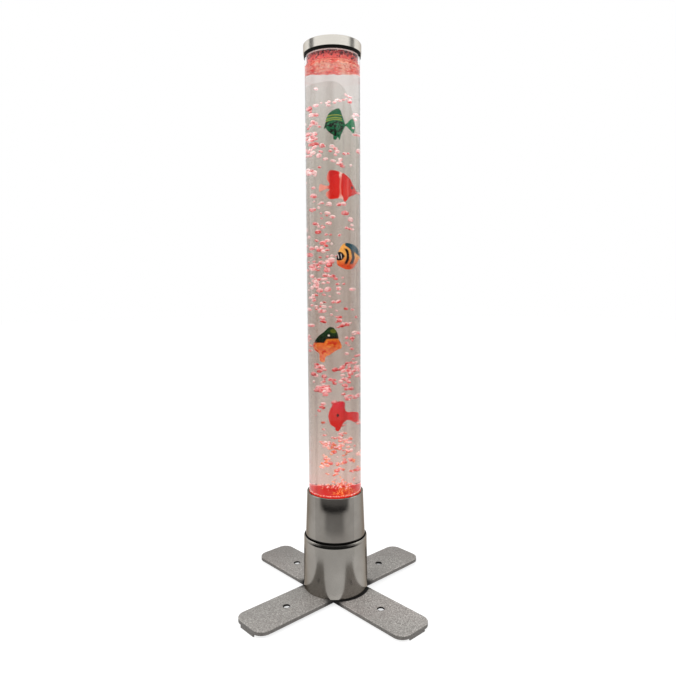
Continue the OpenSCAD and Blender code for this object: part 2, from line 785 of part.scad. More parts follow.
module air_nozzle() {
    flange_r = spigot_rad + 2.4;
    color(moulded_white) translate([air_x, air_y, 0]) difference() {
        union() {
            translate([0, 0, nozzle_foot_z]) cylinder(h = tube_floor_z + 3 - nozzle_foot_z, r = spigot_rad);
            translate([0, 0, tube_z - seal_t + 0.3]) cylinder(h = seal_t - 0.3, r = flange_r);
        }
        translate([0, 0, nozzle_foot_z - over])
            cylinder(h = tube_floor_z + 3 - nozzle_foot_z + 2 * over, r = spigot_bore_rad);
    }
}

module air_stone() {
    edge = 1.5;
    color([0.8, 0.78, 0.74]) translate([air_x, air_y, tube_floor_z]) difference() {
        rotate_extrude() polygon([[0, 0], [stone_d / 2, 0], [stone_d / 2, stone_h - edge],
            [stone_d / 2 - edge, stone_h], [0, stone_h]]);
        translate([0, 0, -over]) cylinder(h = 4 + over, r = spigot_rad + fit_gap);
    }
}

module check_valve() {
    color([0.9, 0.9, 0.92]) translate([air_x, air_y, 0]) difference() {
        union() {
            translate([0, 0, valve_z]) cylinder(h = valve_h, d = valve_d);
            translate([0, 0, valve_z + valve_h / 2 - 1.2]) cylinder(h = 2.4, d = valve_d + 2.4);
            translate([0, 0, valve_z - valve_spigot_h])
                cylinder(h = valve_h + 2 * valve_spigot_h, r = spigot_rad);
        }
        translate([0, 0, valve_z - valve_spigot_h - over])
            cylinder(h = valve_spigot_h + 2 * over, r = spigot_bore_rad);
        translate([0, 0, valve_top_z - over]) cylinder(h = valve_spigot_h + 2 * over, r = spigot_bore_rad);
    }
}

module air_hose_lower() {
    color([0.85, 0.88, 0.88]) translate([air_x, air_y, 0])
        tube_between(pump_lid_top_z, valve_z, hose_r, spigot_rad + 0.02);
}

module air_hose_upper() {
    color([0.85, 0.88, 0.88]) translate([air_x, air_y, 0])
        tube_between(valve_top_z, nozzle_foot_z + 7, hose_r, spigot_rad + 0.02);
}

// ---------------------------------------------------------------- pump

module at_pump() translate([0, pump_y, 0]) children();

module pump_feet() {
    color(rubber_black) at_pump() for (x = [-1, 1], y = [-1, 1])
        translate([x * pump_foot_x, y * pump_foot_y, plate_z]) difference() {
            cylinder(h = pump_foot_h, r = pump_foot_r);
            translate([0, 0, -over]) cylinder(h = 1.5 + over, r = pump_foot_r - 1.5);
        }
}

module pump_case() {
    inner_l = pump_l - 2 * pump_wall;
    inner_w = pump_w - 2 * pump_wall;
    core_seat_z = pump_axis_z - core_h / 2;
    color([0.3, 0.32, 0.35]) at_pump() difference() {
        union() {
            difference() {
                translate([0, 0, pump_z]) linear_extrude(pump_h) rounded_rect(pump_l, pump_w, 4);
                translate([0, 0, pump_z + pump_wall]) linear_extrude(pump_h) rounded_rect(inner_l, inner_w, 2);
            }
            box_between([core_x, -core_t / 2, pump_z + pump_wall - 0.5],
                [core_x + core_yoke + core_leg - 3, core_t / 2, core_seat_z]);
            for (s = [0, 1]) mirror([0, s, 0])
                rod_y(pin_x, pump_axis_z, inner_w / 2 - pin_boss_len, inner_w / 2 + 0.5, pin_boss_r);
        }
        rod_y(pin_x, pump_axis_z, 1 - inner_w / 2, inner_w / 2 - 1, pin_r + screw_gap);
    }
}

module pump_lid() {
    lip_l = pump_l - 2 * pump_wall - 0.4;
    lip_w = pump_w - 2 * pump_wall - 0.4;
    color([0.3, 0.32, 0.35]) at_pump() difference() {
        union() {
            translate([0, 0, pump_lid_z]) linear_extrude(pump_lid_t) rounded_rect(pump_l, pump_w, 4);
            translate([0, 0, pump_lid_z - lid_lip_h]) linear_extrude(lid_lip_h + 0.5) difference() {
                rounded_rect(lip_l, lip_w, 1.8);
                rounded_rect(lip_l - 2 * lid_lip_t, lip_w - 2 * lid_lip_t, 0.4);
            }
        }
        translate([air_x, air_y - pump_y, pump_lid_z - over])
            cylinder(h = pump_lid_t + 2 * over, r = spigot_rad + seat_gap);
        translate([coil_exit_x, coil_exit_y - pump_y, pump_lid_z - over])
            cylinder(h = pump_lid_t + 2 * over, r = 0.9);
    }
}

module pump_core() {
    gap_h = (core_h - 2 * core_side_t - core_mid_t) / 2;
    color([0.42, 0.42, 0.45]) at_pump() translate([core_x, core_t / 2, pump_axis_z - core_h / 2])
        rotate([90, 0, 0]) linear_extrude(core_t) difference() {
            square([core_yoke + core_leg, core_h]);
            for (k = [0, 1]) translate([core_yoke, core_side_t + k * (gap_h + core_mid_t)])
                square([core_leg + over, gap_h]);
        }
}

module coil_block(x0, x1, w, h) box_between([x0, -w / 2, pump_axis_z - h / 2], [x1, w / 2, pump_axis_z + h / 2]);

module coil_bobbin() {
    x0 = core_x + core_yoke + 0.2;
    x1 = x0 + coil_len;
    sleeve = 1;
    color(moulded_white) at_pump() difference() {
        union() {
            coil_block(x0, x1, core_t + 2 * sleeve, core_mid_t + 2 * sleeve);
            coil_block(x0, x0 + coil_flange_t, coil_w, coil_h);
            coil_block(x1 - coil_flange_t, x1, coil_w, coil_h);
        }
        coil_block(x0 - over, x1 + over, core_t + 2 * fit_gap, core_mid_t + 2 * fit_gap);
    }
}

module coil_winding() {
    x0 = core_x + core_yoke + 0.2 + coil_flange_t;
    x1 = x0 + coil_len - 2 * coil_flange_t;
    sleeve = 1;
    color([0.72, 0.4, 0.2]) at_pump() difference() {
        translate([x0, 0, pump_axis_z]) rotate([0, 90, 0]) linear_extrude(x1 - x0)
            rounded_rect(coil_h - 0.8, coil_w - 0.8, 2.5);
        coil_block(x0 - over, x1 + over, core_t + 2 * sleeve + 0.05, core_mid_t + 2 * sleeve + 0.05);
    }
}

module pump_pin() {
    half = pump_w / 2 - pump_wall - 1.2;
    color(steel) at_pump() rod_y(pin_x, pump_axis_z, -half, half, pin_r);
}

module pump_arm() {
    pad_x = magnet_x + magnet_t;
    color(moulded_dark) at_pump() difference() {
        union() {
            box_between([pad_x, -arm_w / 2, pump_axis_z - arm_t / 2], [pin_x, arm_w / 2, pump_axis_z + arm_t / 2]);
            box_between([pad_x, -core_t / 2, pump_axis_z - magnet_h / 2],
                [pad_x + arm_pad_t, core_t / 2, pump_axis_z + magnet_h / 2]);
            rod_y(pin_x, pump_axis_z, -arm_eye_w / 2, arm_eye_w / 2, arm_eye_r);
            translate([stud_x, 0, pump_axis_z]) cylinder(h = stud_top_z - pump_axis_z, r = stud_r);
        }
        rod_y(pin_x, pump_axis_z, -arm_eye_w, arm_eye_w, pin_r + run_gap);
    }
}

module arm_magnet() {
    color(steel) at_pump() box_between([magnet_x, -core_t / 2, pump_axis_z - magnet_h / 2],
        [magnet_x + magnet_t, core_t / 2, pump_axis_z + magnet_h / 2]);
}

module pump_diaphragm() {
    skin = 1;
    color(rubber_black) translate([stud_x, pump_y, stud_top_z]) rotate_extrude() polygon([
        [0, 0], [stud_r + 1, 0], [diaphragm_r, diaphragm_h - 2], [diaphragm_r, diaphragm_h],
        [diaphragm_r - 2, diaphragm_h], [diaphragm_r - 2, diaphragm_h - 2 + skin],
        [stud_r + 1 - skin / 2, skin + 1], [0, skin + 1]]);
}

module pump_valve_block() {
    block_z = diaphragm_top_z;
    color([0.55, 0.57, 0.6]) difference() {
        union() {
            box_between([stud_x - 11, pump_y - 11, block_z], [stud_x + 11, pump_y + 11, pump_lid_z]);
            translate([air_x, air_y, block_z + 1]) cylinder(h = pump_lid_top_z + 11 - block_z - 1, r = spigot_rad);
        }
        translate([air_x, air_y, block_z + 3]) cylinder(h = pump_lid_top_z + 12 - block_z, r = spigot_bore_rad);
    }
}

// ---------------------------------------------------------------- controls

module control_board() {
    color(board_green) box_between([-control_w / 2, control_y, control_z],
        [control_w / 2, control_back_y, control_z + control_h]);
}

// A connector on the board's front face
module board_connector(x, z) {
    box_between([x - connector_w / 2, control_y - connector_t, z], [x + connector_w / 2, control_y, z + connector_h]);
}

module board_components() {
    color(moulded_white) {
        board_connector(light_socket_x, light_socket_z);
        board_connector(coil_socket_x, coil_socket_z - connector_h / 2);
        box_between([inlet_socket_x - connector_w / 2, control_back_y, inlet_socket_z - connector_h / 2],
            [inlet_socket_x + connector_w / 2, control_back_y + connector_t, inlet_socket_z + connector_h / 2]);
    }
    color(moulded_dark) {
        rod_y(-14, control_z + 20, control_y - 12, control_y, 4);
        box_between([-2, control_y - 2, control_z + 26], [8, control_y, control_z + 36]);
        box_between([10, control_y - 3, control_z + 12], [20, control_y, control_z + 20]);
    }
}

module switch_body() {
    color(moulded_dark) difference() {
        box_between([-switch_side / 2, control_back_y, button_z - switch_side / 2],
            [switch_side / 2, switch_face_y, button_z + switch_side / 2]);
        rod_y(0, button_z, control_back_y + 0.4, switch_face_y + over, plunger_r + fit_gap);
    }
}

module switch_plunger() {
    color(moulded_white) rod_y(0, button_z, switch_face_y - plunger_depth, stem_foot_y, plunger_r);
}

module mode_button() {
    flange_y = pad_y - seat_gap - button_flange_t;
    crown = 1;
    color(moulded_dark) translate([0, 0, button_z]) rotate([-90, 0, 0]) rotate_extrude() polygon([
        [0, stem_foot_y], [stem_r, stem_foot_y], [stem_r, flange_y], [button_flange_r, flange_y],
        [button_flange_r, flange_y + button_flange_t], [button_r, flange_y + button_flange_t],
        [button_r, button_end_y - crown], [button_r - crown, button_end_y], [0, button_end_y]]);
}

module power_jack() {
    body_y = pad_y - 10;
    color(moulded_dark) difference() {
        union() {
            rod_y(0, jack_z, body_y, jack_face_y + over / 2, jack_rad);
            rod_y(0, jack_z, jack_face_y, jack_face_y + jack_flange_t, jack_flange_r);
        }
        rod_y(0, jack_z, jack_face_y + jack_flange_t - jack_bore_depth, jack_face_y + jack_flange_t + over,
            jack_bore_d / 2);
    }
    color(steel) {
        rod_y(0, jack_z, jack_face_y + jack_flange_t - jack_bore_depth, jack_face_y + jack_flange_t - 1.5, jack_pin_r);
        box_between([-2, body_y - 2.5, jack_z - 0.5], [2, body_y, jack_z + 0.5]);
    }
}

module jack_nut() {
    color(steel) difference() {
        translate([0, pad_y - jack_nut_t, jack_z]) rotate([-90, 0, 0]) cylinder(h = jack_nut_t, r = jack_nut_r, $fn = 6);
        rod_y(0, jack_z, pad_y - jack_nut_t - over, pad_y + over, jack_rad + screw_gap);
    }
}

module inlet_lead() color([0.12, 0.12, 0.12]) lead(inlet_route, lead_r, [0, 1, 0]);

module light_lead() color([0.5, 0.1, 0.1]) lead(light_route, lead_r, [1, 0, 0]);

module coil_lead() color([0.12, 0.12, 0.12]) lead(coil_route, lead_r, [0.3, 0.2, 0.9]);

// ---------------------------------------------------------------- fish

// A smooth closed curve through the corners of an outline
function closed_curve(p, steps) = let (n = len(p)) [for (i = [0 : n - 1], k = [0 : steps - 1])
    curve_point([p[(i + n - 1) % n], p[i], p[(i + 1) % n], p[(i + 2) % n]], 1, k / steps)];

// A fish's rounded body: the outline shrinks towards its middle as it bulges to both sides.
// Outlines run anticlockwise as seen from the front, in hundredths of the body's length
module fish_body(outline, middle, l, t) {
    rim = closed_curve(outline, 3);
    n = len(rim);
    m = fish_rings;
    function ring(side, k) = let (s = cos(90 * k / m), y = side * t / 2 * sin(90 * k / m))
        [for (p = rim) let (q = (middle + (p - middle) * s) * l / 100) [q[0], y, q[1]]];
    function crown(side) = [middle[0] * l / 100, side * t / 2, middle[1] * l / 100];
    // Rows of points: the rim, then the rings of the front, then those of the back
    points = concat([for (p = rim) [p[0] * l / 100, 0, p[1] * l / 100]],
        [for (k = [1 : m - 1]) each ring(-1, k)], [for (k = [1 : m - 1]) each ring(1, k)],
        [crown(-1), crown(1)]);
    front_rows = [for (k = [0 : m - 1]) k * n];
    back_rows = [0, for (k = [m : 2 * m - 2]) k * n];
    front = [for (r = [0 : m - 2], k = [0 : n - 1]) let (j = (k + 1) % n, a = front_rows[r], b = front_rows[r + 1])
        [a + k, a + j, b + j, b + k]];
    back = [for (r = [0 : m - 2], k = [0 : n - 1]) let (j = (k + 1) % n, a = back_rows[r], b = back_rows[r + 1])
        [a + j, a + k, b + k, b + j]];
    front_crown = [for (k = [0 : n - 1]) [front_rows[m - 1] + k, front_rows[m - 1] + (k + 1) % n, len(points) - 2]];
    back_crown = [for (k = [0 : n - 1]) [back_rows[m - 1] + (k + 1) % n, back_rows[m - 1] + k, len(points) - 1]];
    polyhedron(points = points, faces = outward(concat(front, back, front_crown, back_crown)));
}

// The flat plate of a fish's fins and tail, in its middle plane
module fish_fins(outline, l) {
    translate([0, fin_t / 2, 0]) rotate([90, 0, 0]) linear_extrude(fin_t)
        polygon(closed_curve(outline, 3) * (l / 100));
}

// Places a fish in the water: across and depth, height, way it faces and tilt
module in_water(at, z, turn, tilt) translate([at[0], at[1], z]) rotate([0, 0, turn]) rotate([0, tilt, 0]) children();

module green_fish() {
    l = green_fish_l;
    color([0.1, 0.55, 0.3]) in_water(green_fish_at, green_fish_z, 30, 0) {
        fish_body([[18, 81], [-23, 57], [-42, 27], [-50, -7], [-50, -39], [-35, -59], [-13, -76], [24, -78],
            [40, -46], [49, -17], [42, 17], [33, 45]], [0, -8], l, green_fish_t);
        fish_fins([[18, 78], [-46, 0], [-60, -47], [-44, -36], [-13, -70], [-9, -101], [4, -104], [13, -86],
            [22, -104], [30, -70], [50, -20], [70, -37], [88, -57], [95, -13], [82, 29], [50, -10], [40, 20]], l);
    }
}

module red_fish_upper() {
    l = red_fish_upper_l;
    color([0.85, 0.14, 0.12]) in_water(red_fish_upper_at, red_fish_upper_z, -4, 0) {
        fish_body([[50, -24], [46, -15], [34, 10], [24, 32], [8, 48], [-14, 50], [-32, 38], [-40, 14], [-36, -10],
            [-34, -34], [-14, -44], [8, -50], [24, -42], [44, -32]], [4, -4], l, red_fish_upper_t);
        fish_fins([[46, -27], [30, 10], [14, 44], [-17, 62], [-40, 62], [-48, 31], [-38, 8], [-50, 3], [-68, 10],
            [-70, -20], [-50, -10], [-38, -12], [-48, -22], [-50, -36], [-38, -51], [-15, -48], [0, -50], [8, -62], [16, -54],
            [24, -40]], l);
    }
}

module striped_fish() {
    l = striped_fish_l;
    color([0.95, 0.65, 0.2]) in_water(striped_fish_at, striped_fish_z, 16, 0) {
        fish_body([[-42, 21], [-47, -2], [-48, -24], [-40, -42], [-24, -55], [-3, -62], [18, -58], [35, -40],
            [47, -18], [49, 7], [44, 30], [25, 48], [2, 58], [-16, 56], [-30, 44]], [0, 0], l, striped_fish_t);
        fish_fins([[-38, 20], [-46, -24], [-44, -47], [-27, -61], [-3, -72], [20, -66], [35, -43], [49, -12],
            [64, -26], [68, 0], [62, 24], [50, 12], [46, 34], [26, 61], [1, 71], [-16, 68], [-30, 50]], l);
    }
}

module green_orange_fish() {
    l = green_orange_fish_l;
    color([0.08, 0.36, 0.16]) in_water(green_orange_fish_at, green_orange_fish_z, 8, 0) {
        fish_body([[-44, 12], [-47, -2], [-34, -20], [-12, -30], [12, -26], [32, -15], [43, 0], [42, 20], [36, 43],
            [26, 62], [10, 66], [-8, 50], [-32, 34]], [0, 12], l, green_orange_fish_t);
        fish_fins([[-42, 12], [-50, -2], [-44, -25], [-27, -40], [-24, -74], [-8, -78], [-4, -55], [8, -48],
            [34, -26], [51, -15], [47, 8], [42, 20], [36, 54], [24, 74], [14, 78], [5, 75], [-8, 58], [-32, 34]], l);
    }
}

module red_fish_lower() {
    l = red_fish_lower_l;
    color([0.82, 0.12, 0.1]) in_water(red_fish_lower_at, red_fish_lower_z, 6, 0) {
        fish_body([[-50, -4], [-42, -32], [-28, -46], [-16, -48], [-4, -30], [8, -14], [12, 2], [8, 16], [3, 38],
            [-4, 57], [-25, 57], [-39, 44], [-48, 17]], [-18, 6], l, red_fish_lower_t);
        fish_fins([[-48, 0], [-39, 45], [-28, 60], [0, 62], [4, 51], [2, 30], [14, 19], [30, 19], [50, 12], [52, -4],
            [50, -18], [37, -28], [21, -17], [8, -17], [-4, -32], [-13, -56], [-21, -63], [-28, -55], [-29, -44],
            [-43, -33]], l);
    }
}

// ---------------------------------------------------------------- assembly

foot_bar_upper();
foot_bar_lower();
foot_bolts();
base_plate();
plate_screws();
base_housing();
base_collar();
collar_screws();
tube_seal();
acrylic_tube();
tube_floor();
cap_gasket();
top_cap();
light_window();
led_board();
led_chips();
led_board_screws();
led_socket();
air_nozzle();
air_stone();
check_valve();
air_hose_lower();
air_hose_upper();
pump_feet();
pump_case();
pump_lid();
pump_core();
coil_bobbin();
coil_winding();
pump_pin();
pump_arm();
arm_magnet();
pump_diaphragm();
pump_valve_block();
control_board();
board_components();
switch_body();
switch_plunger();
mode_button();
power_jack();
jack_nut();
inlet_lead();
light_lead();
coil_lead();
green_fish();
red_fish_upper();
striped_fish();
green_orange_fish();
red_fish_lower();
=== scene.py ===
"""Bubble tube floor lamp: finishes, water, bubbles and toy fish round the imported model.

Lengths are metres in the model's own frame: +Z up, front towards -Y, floor at Z = 0.
"""

import logging
import math
import random
from contextlib import contextmanager
from dataclasses import dataclass
from enum import Enum
from typing import Callable, ClassVar, Iterator, Mapping, Sequence, Union

import bmesh
import bpy
from mathutils import Matrix, Vector


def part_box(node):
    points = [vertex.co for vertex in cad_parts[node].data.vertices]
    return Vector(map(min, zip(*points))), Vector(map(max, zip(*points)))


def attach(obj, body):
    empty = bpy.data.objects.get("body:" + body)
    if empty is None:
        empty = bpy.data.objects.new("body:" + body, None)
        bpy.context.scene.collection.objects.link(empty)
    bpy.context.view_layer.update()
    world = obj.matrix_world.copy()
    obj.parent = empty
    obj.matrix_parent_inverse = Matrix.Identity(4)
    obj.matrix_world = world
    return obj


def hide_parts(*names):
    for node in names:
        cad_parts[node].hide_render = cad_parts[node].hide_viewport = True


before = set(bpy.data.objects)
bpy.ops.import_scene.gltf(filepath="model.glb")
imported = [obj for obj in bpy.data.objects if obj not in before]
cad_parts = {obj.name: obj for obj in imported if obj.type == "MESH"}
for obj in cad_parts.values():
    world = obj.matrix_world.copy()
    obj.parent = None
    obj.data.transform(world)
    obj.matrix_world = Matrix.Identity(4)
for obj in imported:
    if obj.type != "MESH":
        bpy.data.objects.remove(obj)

log = logging.getLogger("bubble_tube_lamp")

MM = 0.001
PHOTO_SIDE = 676
SENSOR = 36
WHITE = (1.0, 1.0, 1.0)
HOLE_AT = 85.9 * MM

Colour = Place = tuple[float, float, float]
Pair = tuple[float, float]
Socket = bpy.types.NodeSocket
Piece = bpy.types.Object


def srgb(red: int, green: int, blue: int) -> Colour:
    """A colour as a screen shows it, turned to the linear values that shaders take."""
    def line(part: int) -> float:
        share = part / 255
        return share / 12.92 if share <= 0.04045 else ((share + 0.055) / 1.055) ** 2.4
    return (line(red), line(green), line(blue))


def darker(colour: Colour, share: float) -> Colour:
    """The colour with only this share of its light."""
    return tuple(share * part for part in colour)


# ---- shader nodes

def math_method(operation: str, swapped: bool = False) -> Callable[..., "Value"]:
    """Makes a method that adds one Math node to its value's tree.

    Args:
        operation: the node's operation.
        swapped: whether the other term comes before the value.

    Returns:
        The method.
    """
    def method(value: "Value", *others: "Number") -> "Value":
        terms = (*others, value) if swapped else (value, *others)
        node = value.tree.add("ShaderNodeMath", {"operation": operation}, dict(enumerate(terms)))
        return Value(value.tree, node.outputs[0])
    return method


class Value:
    """A number socket; sums on it are written as plain expressions and add Math nodes.

    x.size() is x without its sign, and y.turn_from(x) is the angle of the point (x, y).
    """

    def __init__(self, tree: "Tree", socket: Socket) -> None:
        """Wraps one output socket of a tree."""
        self.tree = tree
        self.socket = socket

    __add__ = __radd__ = math_method("ADD")
    __sub__ = math_method("SUBTRACT")
    __rsub__ = math_method("SUBTRACT", swapped=True)
    __mul__ = __rmul__ = math_method("MULTIPLY")
    __truediv__ = math_method("DIVIDE")
    __pow__ = math_method("POWER")
    size = math_method("ABSOLUTE")
    least = math_method("MINIMUM")
    most = math_method("MAXIMUM")
    sine = math_method("SINE")
    turn_from = math_method("ARCTAN2")

    def hypot(self, other: "Value") -> "Value":
        """How far the point (this value, other) is from the origin."""
        return (self * self + other * other) ** 0.5

    def step(self, low: float, high: float) -> "Value":
        """A soft step from 0 at low to 1 at high, or from 1 to 0 where high is below low."""
        ends = (low, high, 0.0, 1.0) if low < high else (high, low, 1.0, 0.0)
        node = self.tree.add(
            "ShaderNodeMapRange",
            {"interpolation_type": "SMOOTHSTEP"},
            {"Value": self, "From Min": ends[0], "From Max": ends[1], "To Min": ends[2], "To Max": ends[3]},
        )
        return Value(self.tree, node.outputs["Result"])

    def near(self, middle: float, half: float, soft: float) -> "Value":
        """A band that is 1 within half of its middle and fades over soft."""
        return (self - middle).size().step(half + soft, half)


Number = Union[Value, float, int]
Feed = Union[Value, Socket, float, int, Sequence[float]]
Feeds = dict[str, Feed]


class Tree:
    """The nodes of one material or world."""

    def __init__(self, owner: Union[bpy.types.Material, bpy.types.World]) -> None:
        """Empties the owner's nodes and starts anew."""
        owner.use_nodes = True
        self.nodes = owner.node_tree.nodes
        self.links = owner.node_tree.links
        self.nodes.clear()
        self.coordinates: Union[bpy.types.Node, None] = None

    def add(
        self,
        kind: str,
        settings: Union[Mapping[str, object], None] = None,
        feeds: Union[Mapping[Union[str, int], Feed], None] = None,
    ) -> bpy.types.Node:
        """Adds a node, sets it up, then feeds its sockets.

        Args:
            kind: the node's type.
            settings: its properties; "stops" holds a ramp's (place, colour) pairs.
            feeds: values or links by the socket's number, identifier or name.

        Returns:
            The new node.
        """
        node = self.nodes.new(kind)
        for name, value in (settings or {}).items():
            if name == "stops":
                self._set_stops(node.color_ramp, value)
            else:
                setattr(node, name, value)
        for key, feed in (feeds or {}).items():
            socket = node.inputs[key] if isinstance(key, int) else self._socket(node, key)
            if isinstance(feed, Value):
                self.links.new(feed.socket, socket)
            elif isinstance(feed, Socket):
                self.links.new(feed, socket)
            elif socket.type == "RGBA":
                socket.default_value = (*feed[:3], 1.0)
            else:
                socket.default_value = feed
        return node

    @staticmethod
    def _socket(node: bpy.types.Node, key: str) -> Socket:
        """The node's input with this identifier, or else with this name."""
        by_identifier = [s for s in node.inputs if s.identifier == key]
        return by_identifier[0] if by_identifier else node.inputs[key]

    @staticmethod
    def _set_stops(ramp: bpy.types.ColorRamp, stops: Sequence[tuple[float, Colour]]) -> None:
        """Gives a colour ramp these stops."""
        while len(ramp.elements) < len(stops):
            ramp.elements.new(0.5)
        for element, (place, colour) in zip(ramp.elements, stops):
            element.position = place
            element.color = (*colour, 1.0)

    def place(self) -> Socket:
        """Object coordinates, which are metres in the model's frame."""
        if self.coordinates is None:
            self.coordinates = self.add("ShaderNodeTexCoord")
        return self.coordinates.outputs["Object"]

    def parts(self, vector: Union[Socket, None] = None) -> tuple[Value, Value, Value]:
        """The three numbers of a vector, or of the place."""
        node = self.add("ShaderNodeSeparateXYZ", None, {0: vector or self.place()})
        return tuple(Value(self, node.outputs[k]) for k in range(3))

    def vector(self, x: Number, y: Number, z: Number) -> Socket:
        """One vector of three numbers."""
        return self.add("ShaderNodeCombineXYZ", None, {0: x, 1: y, 2: z}).outputs[0]

    def noise(
        self,
        scale: float,
        detail: float = 3.0,
        rough: float = 0.5,
        at: Union[Socket, None] = None,
    ) -> Value:
        """Soft noise from 0 to 1.

        Args:
            scale: waves to the metre, or to the unit of the given vector.
            detail: octaves on top of the first.
            rough: how strong they are.
            at: the vector to read, or the place.

        Returns:
            The noise as a value.
        """
        node = self.add(
            "ShaderNodeTexNoise", {"noise_dimensions": "3D"},
            {"Vector": at or self.place(), "Scale": scale, "Detail": detail, "Roughness": rough},
        )
        return Value(self, node.outputs[0])

    def cells(self, scale: float, at: Union[Socket, None] = None) -> Value:
        """Distance to the nearest of scattered points, from 0 up."""
        node = self.add(
            "ShaderNodeTexVoronoi", {"feature": "F1"}, {"Vector": at or self.place(), "Scale": scale}
        )
        return Value(self, node.outputs["Distance"])

    def mix(self, share: Number, low: Feed, high: Feed) -> Socket:
        """One colour that goes from low to high as share goes from 0 to 1."""
        node = self.add(
            "ShaderNodeMix", {"data_type": "RGBA"}, {"Factor_Float": share, "A_Color": low, "B_Color": high}
        )
        return [s for s in node.outputs if s.identifier == "Result_Color"][0]

    def ramp(self, share: Number, stops: Sequence[tuple[float, Colour]]) -> Socket:
        """A colour that runs through these stops."""
        return self.add("ShaderNodeValToRGB", {"stops": stops}, {0: share}).outputs[0]

    def bump(self, height: Value, strength: float, depth: float) -> Socket:
        """A bumped normal.

        Args:
            height: the relief, from 0 to 1.
            strength: how much of it shows.
            depth: its depth in metres.

        Returns:
            The normal's socket.
        """
        node = self.add("ShaderNodeBump", None, {"Height": height, "Strength": strength, "Distance": depth})
        return node.outputs[0]


# ---- finishes

@dataclass(frozen=True)
class Finish:
    """A finish by name; each kind says what it feeds to the Principled shader."""

    made: ClassVar[dict[str, bpy.types.Material]] = {}

    name: str

    def feeds(self, tree: Tree) -> Feeds:
        """What this finish gives the shader's sockets."""
        raise NotImplementedError

    def make(self) -> bpy.types.Material:
        """Builds the material, once, and returns it."""
        if self.name in Finish.made:
            return Finish.made[self.name]
        material = bpy.data.materials.new(self.name)
        Finish.made[self.name] = material
        tree = Tree(material)
        shader = tree.add("ShaderNodeBsdfPrincipled", None, self.feeds(tree))
        tree.add("ShaderNodeOutputMaterial", None, {"Surface": shader.outputs[0]})
        return material


@dataclass(frozen=True)
class SatinLacquer(Finish):
    """Silver metallic lacquer on a moulding: smooth, with a faint cloudiness."""

    colour: Colour = srgb(157, 153, 147)
    shade: Colour = srgb(141, 137, 131)
    rough: float = 0.16
    groove_z: float = 118.4 * MM
    lip_z: float = 119.6 * MM
    rim_z: float = 115.3 * MM
    line_z: float = 112.2 * MM
    painted_shade_black: Colour = (0.004, 0.004, 0.003)
    fleck: Colour = (0.6, 0.59, 0.57)

    def feeds(self, tree: Tree) -> Feeds:
        """Metal flakes with a soft cloud and a faint orange peel, with painted shade in the groove where the
        two shells meet and dark lines painted as reflections on and under the housing's rounded rim, strongest
        at the front.
        """
        x, _, z = tree.parts()
        front, middle = x.size().step(0.056, 0.034), x.size().step(0.044, 0.02)
        # Painted shade in the groove and painted dark reflections round the housing's rim, strongest at the
        # front.
        dark = z.near(self.groove_z, 0.0013, 0.0003).most(z.near(self.line_z, 0.0016, 0.0007) * front)
        dark = dark.most(z.near(self.lip_z, 0.0012, 0.0006) * front)
        dark = dark.most(z.near(self.rim_z, 0.002, 0.0008) * middle * 0.9)
        cloud = tree.noise(14, 4)
        flake = tree.noise(2600, 1)
        tone = tree.mix(cloud.step(0.35, 0.7), self.shade, self.colour)
        tone = tree.mix(flake.step(0.62, 0.75) * 0.12, tone, self.fleck)
        tone = tree.mix(dark, tone, self.painted_shade_black)
        return {
            "Base Color": tone, "Metallic": 1.0, "Roughness": self.rough + cloud * 0.06,
            "Specular Tint": srgb(178, 168, 158), "Coat Weight": 0.1, "Coat Roughness": 0.08,
            "Normal": tree.bump(tree.noise(420, 2), 0.05, 0.0003),
        }


@dataclass(frozen=True)
class TurnedMetal(Finish):
    """Bare light metal with fine turning marks round the upright axis."""

    colour: Colour = srgb(238, 234, 225)

    def feeds(self, tree: Tree) -> Feeds:
        """Rings that follow the radius on flat faces and the height on the skirt."""
        x, y, z = tree.parts()
        radius = x.hypot(y)
        marks = tree.noise(1.0, 2, 0.7, tree.vector(radius * 2600, z * 3000, 0.0))
        tone = tree.mix(marks * 0.5, self.colour, srgb(188, 181, 172))
        return {
            "Base Color": tone, "Metallic": 1.0, "Roughness": 0.18 + marks * 0.1,
            "Specular Tint": srgb(200, 194, 188), "Normal": tree.bump(marks, 0.12, 0.0001),
        }


